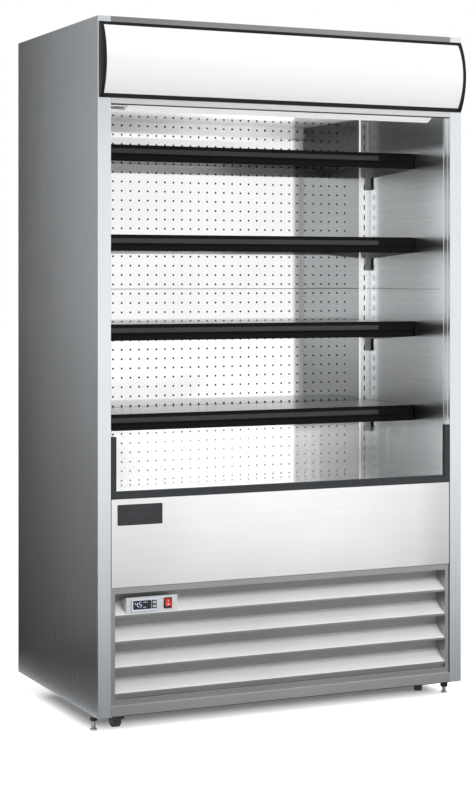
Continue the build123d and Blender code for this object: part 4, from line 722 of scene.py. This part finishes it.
# %% Window and digits
INK_DEPTH = 5.18
INK_THICK = 0.00004  # in metres
DIGIT_MIDDLE = 355.5
STEP_ACROSS, STEP_UP = 7, 6.6
BAR_RADIUS, BAR_STRETCH = 0.001, (2.9, 1.0, 0.75)  # the radius in metres
SEGMENTS = {"4": "bcfg", "5": "acdfg"}
# A bar is (across, up, standing), in steps from the middle of its digit.
BARS = {"a": (0, 1, 0), "b": (0.5, 0.5, 1), "c": (0.5, -0.5, 1), "d": (0, -1, 0), "f": (-0.5, 0.5, 1),
        "g": (0, 0, 0)}
# A dot is (across, up, radius). The first is the point between the digits.
DOTS = ((-464.5, 349.2, 0.9), (-448, 361, 1.1), (-443, 361, 1.1), (-438, 361, 1.1), (-448, 347, 1.1),
        (-443, 347, 1.1))

pane_glass = cloudy("pane_glass", (0.012, 0.014, 0.018), rough=0.10, scale=300.0, strength=0.01)
digit_light = cloudy("digit_light", (0.55, 0.66, 0.78), rough=0.4, scale=400.0, low=0.95, high=1.0,
                     Emission_Color=(0.62, 0.76, 0.92, 1.0), Emission_Strength=0.55)
pane = bmesh.new()
rounded_block(pane, (-480.2, 5.25, 341.8), (-425.8, 5.95, 366.2), 0.2)
finish_piece("display_window", pane, pane_glass, "cabinet")

digits = bmesh.new()
for middle, digit in ((-470.5, "4"), (-458.5, "5")):
    for bar in SEGMENTS[digit]:
        dx, dz, standing = BARS[bar]
        points = bmesh.ops.create_circle(digits, cap_ends=True, segments=6, radius=BAR_RADIUS)["verts"]
        rotate(digits, points, 90, "X")
        bmesh.ops.scale(digits, vec=BAR_STRETCH, verts=points)
        if standing:
            rotate(digits, points, 90, "Y")
        spot = at(middle + dx * STEP_ACROSS, INK_DEPTH, DIGIT_MIDDLE + dz * STEP_UP)
        bmesh.ops.translate(digits, vec=spot, verts=points)
for x, z, radius in DOTS:
    dot = bmesh.ops.create_circle(digits, cap_ends=True, segments=12, radius=radius / 1000)["verts"]
    rotate(digits, dot, 90, "X")
    bmesh.ops.translate(digits, vec=at(x, INK_DEPTH, z), verts=dot)
thicken(digits, (0, INK_THICK, 0))
finish_piece("display_digits", digits, digit_light, "cabinet")

# %% Dark field round the keys
FIELD_FRONT, FIELD_BACK = 4.86, 4.99
# A bar is its lower left and its upper right corner, each (across, up).
FIELD_BARS = (((-424.8, 342.0), (-421.6, 366.0)), ((-411.4, 342.0), (-409.4, 366.0)),
              ((-421.6, 363.0), (-411.4, 366.0)), ((-421.6, 351.9), (-411.4, 356.1)),
              ((-421.6, 342.0), (-411.4, 345.1)))

field = bmesh.new()
for (left, foot), (right, top) in FIELD_BARS:
    rounded_block(field, (left, FIELD_FRONT, foot), (right, FIELD_BACK, top), 0.03, segments=1)
finish_piece("key_field", field, pane_glass, "cabinet")

# %% [markdown]
# ## Marks on the keys and the rocker
# The two keys carry a small arrow each. The rocker carries the usual bar and ring for on and off. They are
# thin printed shapes, so each is a flat form that stands out by a fraction of a millimetre. A rocker's face
# is bent in the middle, so its marks lean with the two halves.

# %% Key arrows
ARROW_RADIUS, ARROW_THICK = 0.0019, 0.00006  # in metres

mark_ink = cloudy("mark_ink", (0.05, 0.055, 0.06), rough=0.5, scale=500.0)
for key, level, turn in (("key_up", 359.5, 0), ("key_down", 348.5, 180)):
    arrow = bmesh.new()
    tips = bmesh.ops.create_circle(arrow, cap_ends=True, segments=3, radius=ARROW_RADIUS)["verts"]
    rotate(arrow, tips, 90, "X")
    rotate(arrow, tips, turn, "Y")
    thicken(arrow, (0, -ARROW_THICK, 0))
    bmesh.ops.translate(arrow, vec=at(-416.5, 4.2, level), verts=arrow.verts)
    finish_piece(key + "_arrow", arrow, mark_ink, key)

# %% Rocker marks
ROCKER_X, ROCKER_Z = -374, 354
CREASE_DEPTH, PIVOT_DEPTH = 7, 12
HALF_SLOPE = math.degrees(math.atan2(2.0, 10.5))  # over 10.5 mm each half falls 2 mm to the crease
REST_TILT = -10
RING = [(2.4, 0.0), (2.4, 0.3), (1.6, 0.3), (1.6, 0.0), (2.4, 0.0)]

white_ink = cloudy("white_ink", (0.75, 0.75, 0.74), rough=0.5, scale=500.0)
on_mark = bmesh.new()
rounded_block(on_mark, (-374.5, 5.55, 357.4), (-373.5, 5.9, 362.0), 0.1, segments=1)
off_mark = bmesh.new()
lathe(off_mark, RING, at(ROCKER_X, 5.9, 348.5), (0, -1, 0), steps=24)
for name, mark, lean in (("rocker_bar", on_mark, 1), ("rocker_ring", off_mark, -1)):
    rotate(mark, mark.verts, HALF_SLOPE * lean, "X", at(ROCKER_X, CREASE_DEPTH, ROCKER_Z))
    rotate(mark, mark.verts, REST_TILT, "X", at(ROCKER_X, PIVOT_DEPTH, ROCKER_Z))
    finish_piece(name, mark, white_ink, "rocker")

# %% [markdown]
# ## Feet and wheels
# A levelling foot has a threaded stem and a lock nut. The thread is a zigzag profile turned on the lathe,
# which reads as a thread at this size and stays light. The nut is a six-sided disc with a chamfer. Each
# wheel gets a shallow dished cap on both sides, turned about its axle. A folded hood covers each front
# wheel: a square ring of edges that is drawn down and in, and then given the thickness of its sheet.

# %% Threads and lock nuts
FOOT_BACK = 75
THREAD_TURNS, THREAD_PITCH = 16, 2
STEM, ROOT, CREST = 5.0, 5.5, 6.1  # radii
NUT_RADIUS, NUT_CHAMFER = 0.0112, 0.0008  # in metres

nut_black = cloudy("nut_black", (0.015, 0.015, 0.017), metal=0.5, rough=0.4, scale=300.0)
for hand, x, nut_low, nut_high in (("left", -572.5, 27.0, 36.0), ("right", 572.5, 18.5, 31.0)):
    profile = [(STEM, 5.2)]
    for ridge in range(THREAD_TURNS):
        profile += [(CREST, 6.2 + THREAD_PITCH * ridge), (ROOT, 7.2 + THREAD_PITCH * ridge)]
    profile.append((STEM, 38.4))
    thread = bmesh.new()
    lathe(thread, profile, at(x, FOOT_BACK, 0), (0, 0, 1), steps=20)
    finish_piece(f"foot_thread_{hand}", thread, foot_zinc, f"foot_{hand}")
    nut = bmesh.new()
    base = bmesh.ops.create_circle(nut, cap_ends=True, segments=6, radius=NUT_RADIUS)["verts"]
    bmesh.ops.translate(nut, vec=at(x, FOOT_BACK, nut_low), verts=base)
    thicken(nut, (0, 0, (nut_high - nut_low) / 1000))
    bmesh.ops.bevel(nut, geom=nut.edges[:], offset=NUT_CHAMFER, segments=2, profile=0.5, affect="EDGES",
                    material=-1)
    finish_piece(f"foot_nut_{hand}", nut, nut_black, f"foot_{hand}")

# %% Wheel hubs
# A wheel is (across, back, turn): its axle points across and is turned by the angle in degrees.
WHEELS = {"front_left": (-503.5, 87.0, 0), "front_right": (513.64, 132.75, 155),
          "rear_left": (-503.5, 600, 0), "rear_right": (503.5, 600, 0)}
AXLE_LEVEL = 25
CAP = [(17.0, 10.9), (16.5, 11.5), (14.0, 11.6), (13.0, 11.2), (7.0, 11.2), (6.5, 11.7), (3.4, 11.7),
       (3.4, 10.9)]

hub_plastic = cloudy("hub_plastic", (0.05, 0.05, 0.053), rough=0.45, scale=200.0)
for wheel, (x, back, turn) in WHEELS.items():
    axle = Vector((math.cos(math.radians(turn)), math.sin(math.radians(turn)), 0))
    hub = bmesh.new()
    for way in (-1, 1):
        lathe(hub, CAP, at(x, back, AXLE_LEVEL), axle * way, steps=28)
    finish_piece(f"hub_{wheel}", hub, hub_plastic, f"wheel_{wheel}")

# %% Hoods over the front wheels
HALF_SQUARE = 14.142  # half the side of a square whose corners lie on a circle of 20 mm
HOOD_TOP, HOOD_FOOT = (21.5, 27.6), (14.6, 26.4)  # half the size across and along
HOOD_LEVEL = 46.0
HOOD_DROP, HOOD_SHEET = 0.020, 0.0014  # in metres

for hand in ("left", "right"):
    x, back, turn = WHEELS[f"front_{hand}"]
    hood = bmesh.new()
    top = bmesh.ops.create_circle(hood, cap_ends=False, segments=4, radius=0.02)["verts"]
    rotate(hood, top, 45, "Z")
    bmesh.ops.scale(hood, vec=(HOOD_TOP[0] / HALF_SQUARE, HOOD_TOP[1] / HALF_SQUARE, 1), verts=top)
    drawn = bmesh.ops.extrude_edge_only(hood, edges=hood.edges[:])["geom"]
    foot = [v for v in drawn if isinstance(v, bmesh.types.BMVert)]
    bmesh.ops.scale(hood, vec=(HOOD_FOOT[0] / HOOD_TOP[0], HOOD_FOOT[1] / HOOD_TOP[1], 1), verts=foot)
    bmesh.ops.translate(hood, vec=(0, 0, -HOOD_DROP), verts=foot)
    bmesh.ops.solidify(hood, geom=hood.faces[:], thickness=HOOD_SHEET)
    rotate(hood, hood.verts, turn, "Z")
    bmesh.ops.translate(hood, vec=at(x, back, HOOD_LEVEL), verts=hood.verts)
    finish_piece(f"caster_hood_{hand}", hood, caster_paint, f"fork_{hand}")

# %% [markdown]
# ## Trim of the display space
# Small strips finish the corners and edges. A pale strip closes the gap beside each slotted upright, two
# fine beads run down each inner wall near its front edge, and dark lines show where the sheets of the walls
# meet. A sill closes the foot of the louvre window, and a dark strip between the header and the lamp is a
# painted shadow of the gap there.
# Each price rail has a ticket strip that stops short of its right end. All of them are plain blocks with
# soft edges, because that is what catches the light on such strips.

# %% Strips and beads
INNER_WALL = 548.45  # half the distance between the inner walls

for hand, side in (("left", -1), ("right", 1)):
    strip = bmesh.new()
    low, high = sorted((side * 544.4, side * 548.3))
    rounded_block(strip, (low, 505.6, 640.5), (high, 507.6, 1794.0), 0.4)
    finish_piece(f"corner_strip_{hand}", strip, upright_steel, "cabinet")
    bead = bmesh.new()
    low, high = sorted((side * 547.5, side * INNER_WALL))
    for back in (14.5, 37.5):
        rounded_block(bead, (low, back, 830.0), (high, back + 2.2, 1755.0), 0.35)
    finish_piece(f"wall_bead_{hand}", bead, upright_steel, "cabinet")

# %% Seams of the walls
seam_shade = cloudy("seam_shade", (0.10, 0.105, 0.11), metal=0.6, rough=0.5, scale=60.0)
wall_seam = bmesh.new()
rounded_block(wall_seam, (-513.0, 508.9, 1236.3), (513.0, 509.6, 1238.1), 0.2)
finish_piece("wall_seam", wall_seam, seam_shade, "cabinet")
for hand, side in (("left", -1), ("right", 1)):
    side_seam = bmesh.new()
    low, high = sorted((side * 548.0, side * INNER_WALL))
    rounded_block(side_seam, (low, 60.0, 1236.5), (high, 504.0, 1237.7), 0.15)
    finish_piece(f"side_seam_{hand}", side_seam, seam_shade, "cabinet")

# %% Sill and painted shadow line
# The sill takes the louvre's dark copy of the steel: painted shade.
sill = bmesh.new()
rounded_block(sill, (-533.5, 14.0, 95.4), (533.5, 15.2, 103.6), 0.3)
finish_piece("louvre_sill", sill, blade_painted_shade, "cabinet")

# Painted shadow: a black strip under the header stands for the shade in the gap above the lamp. The same
# black draws the painted shadow at the foot of the bottom rail.
painted_shadow_line = cloudy("painted_shadow_line", (0.02, 0.02, 0.021), rough=0.6, scale=200.0)
shadow_strip = bmesh.new()
rounded_block(shadow_strip, (-546.0, 1.6, 1754.6), (546.0, 8.6, 1756.9), 0.6)
finish_piece("header_painted_shadow", shadow_strip, painted_shadow_line, "cabinet")

# %% Ticket strips
TOP_RAIL, SHELF_STEP = 1660.0, 262.0

ticket_strip = cloudy("ticket_strip", (0.022, 0.022, 0.024), rough=0.22, scale=60.0, Specular_IOR_Level=0.35)
for number in SHELVES:
    rail_top = TOP_RAIL - SHELF_STEP * (number - 1)
    strip = bmesh.new()
    rounded_block(strip, (-543.0, 214.55, rail_top - 24.5), (421.0, 215.3, rail_top - 11.0), 0.25)
    finish_piece(f"ticket_strip_{number}", strip, ticket_strip, f"shelf_{number}")

# %% [markdown]
# ## Lines on the bottom rail
# The bottom rail is folded, and light and shade on its folds show as two level lines: a highlight near the
# top and a shadow at the foot. Two thin blocks just in front of the rail paint them, a painted highlight and
# a painted shadow, which is lighter than folding the sheet again.

# %% Lines on the bottom rail
# Painted highlight and painted shadow: a bright line on the rail's upper fold and a dark line at its foot.
kick_painted_highlight = bmesh.new()
rounded_block(kick_painted_highlight, (-546.0, -0.6, 76.4), (546.0, -0.05, 77.9), 0.15)
finish_piece("kick_painted_highlight", kick_painted_highlight, upright_steel, "cabinet")
kick_painted_shadow = bmesh.new()
rounded_block(kick_painted_shadow, (-546.0, -0.5, 48.2), (546.0, -0.05, 50.0), 0.15)
finish_piece("kick_painted_shadow", kick_painted_shadow, painted_shadow_line, "cabinet")

# %% [markdown]
# ## Rounded edges
# Bent and cast parts have no knife edges. Each chosen node gets a small bevel from a modifier, so its mesh
# stays as it is. A weld comes first and joins the loose triangles of the CAD mesh, because a bevel needs
# edges that two faces share.

# %% Bevels
BEVEL_WIDTHS = {"canopy_frame": 1.0, "glass_frame": 0.8, "badge_plate": 0.4, "front_panel": 0.5,
                "kick_rail": 0.5, "controller": 0.4, "switch_bezel": 0.5, "switch_rocker": 0.4,
                "caster_fork_left": 0.4, "caster_fork_right": 0.4, "front_glass": 0.5}  # in millimetres
WELD_DISTANCE = 0.00001
SHARP_ANGLE = math.radians(40)

for name, width in BEVEL_WIDTHS.items():
    weld = nodes[name].modifiers.new("weld", "WELD")
    weld.merge_threshold = WELD_DISTANCE
    bevel = nodes[name].modifiers.new("bevel", "BEVEL")
    bevel.width = width / 1000
    bevel.segments = 2
    bevel.limit_method = "ANGLE"
    bevel.angle_limit = SHARP_ANGLE
print("bevelled nodes", sum(1 for node in nodes.values() if node.modifiers))

# %% [markdown]
# ## Trim of the plate
# The dark plate on the front panel has a fine raised rim. It starts as a flat rectangle that is inset. The
# middle is deleted, and the ring that the inset leaves is pulled forward.

# %% Plate rim
PLATE_WIDTH, PLATE_HEIGHT = 0.131, 0.054
RIM_WIDTH, RIM_RISE = 0.0022, 0.0006
plate_centre = at(-461.0, 0.5, 609.0)

rim = bmesh.new()
corners = bmesh.ops.create_grid(rim, x_segments=1, y_segments=1, size=0.5)["verts"]
rotate(rim, corners, 90, "X")
bmesh.ops.scale(rim, vec=(PLATE_WIDTH, 1, PLATE_HEIGHT), verts=corners)
bmesh.ops.translate(rim, vec=plate_centre, verts=corners)
bmesh.ops.inset_region(rim, faces=rim.faces[:], thickness=RIM_WIDTH, depth=0.0, use_even_offset=True,
                       use_boundary=True)
middle = min(rim.faces, key=lambda face: (face.calc_center_median() - plate_centre).length)
bmesh.ops.delete(rim, geom=[middle], context="FACES")
thicken(rim, (0, -RIM_RISE, 0))
finish_piece("plate_rim", rim, badge_metal, "cabinet")
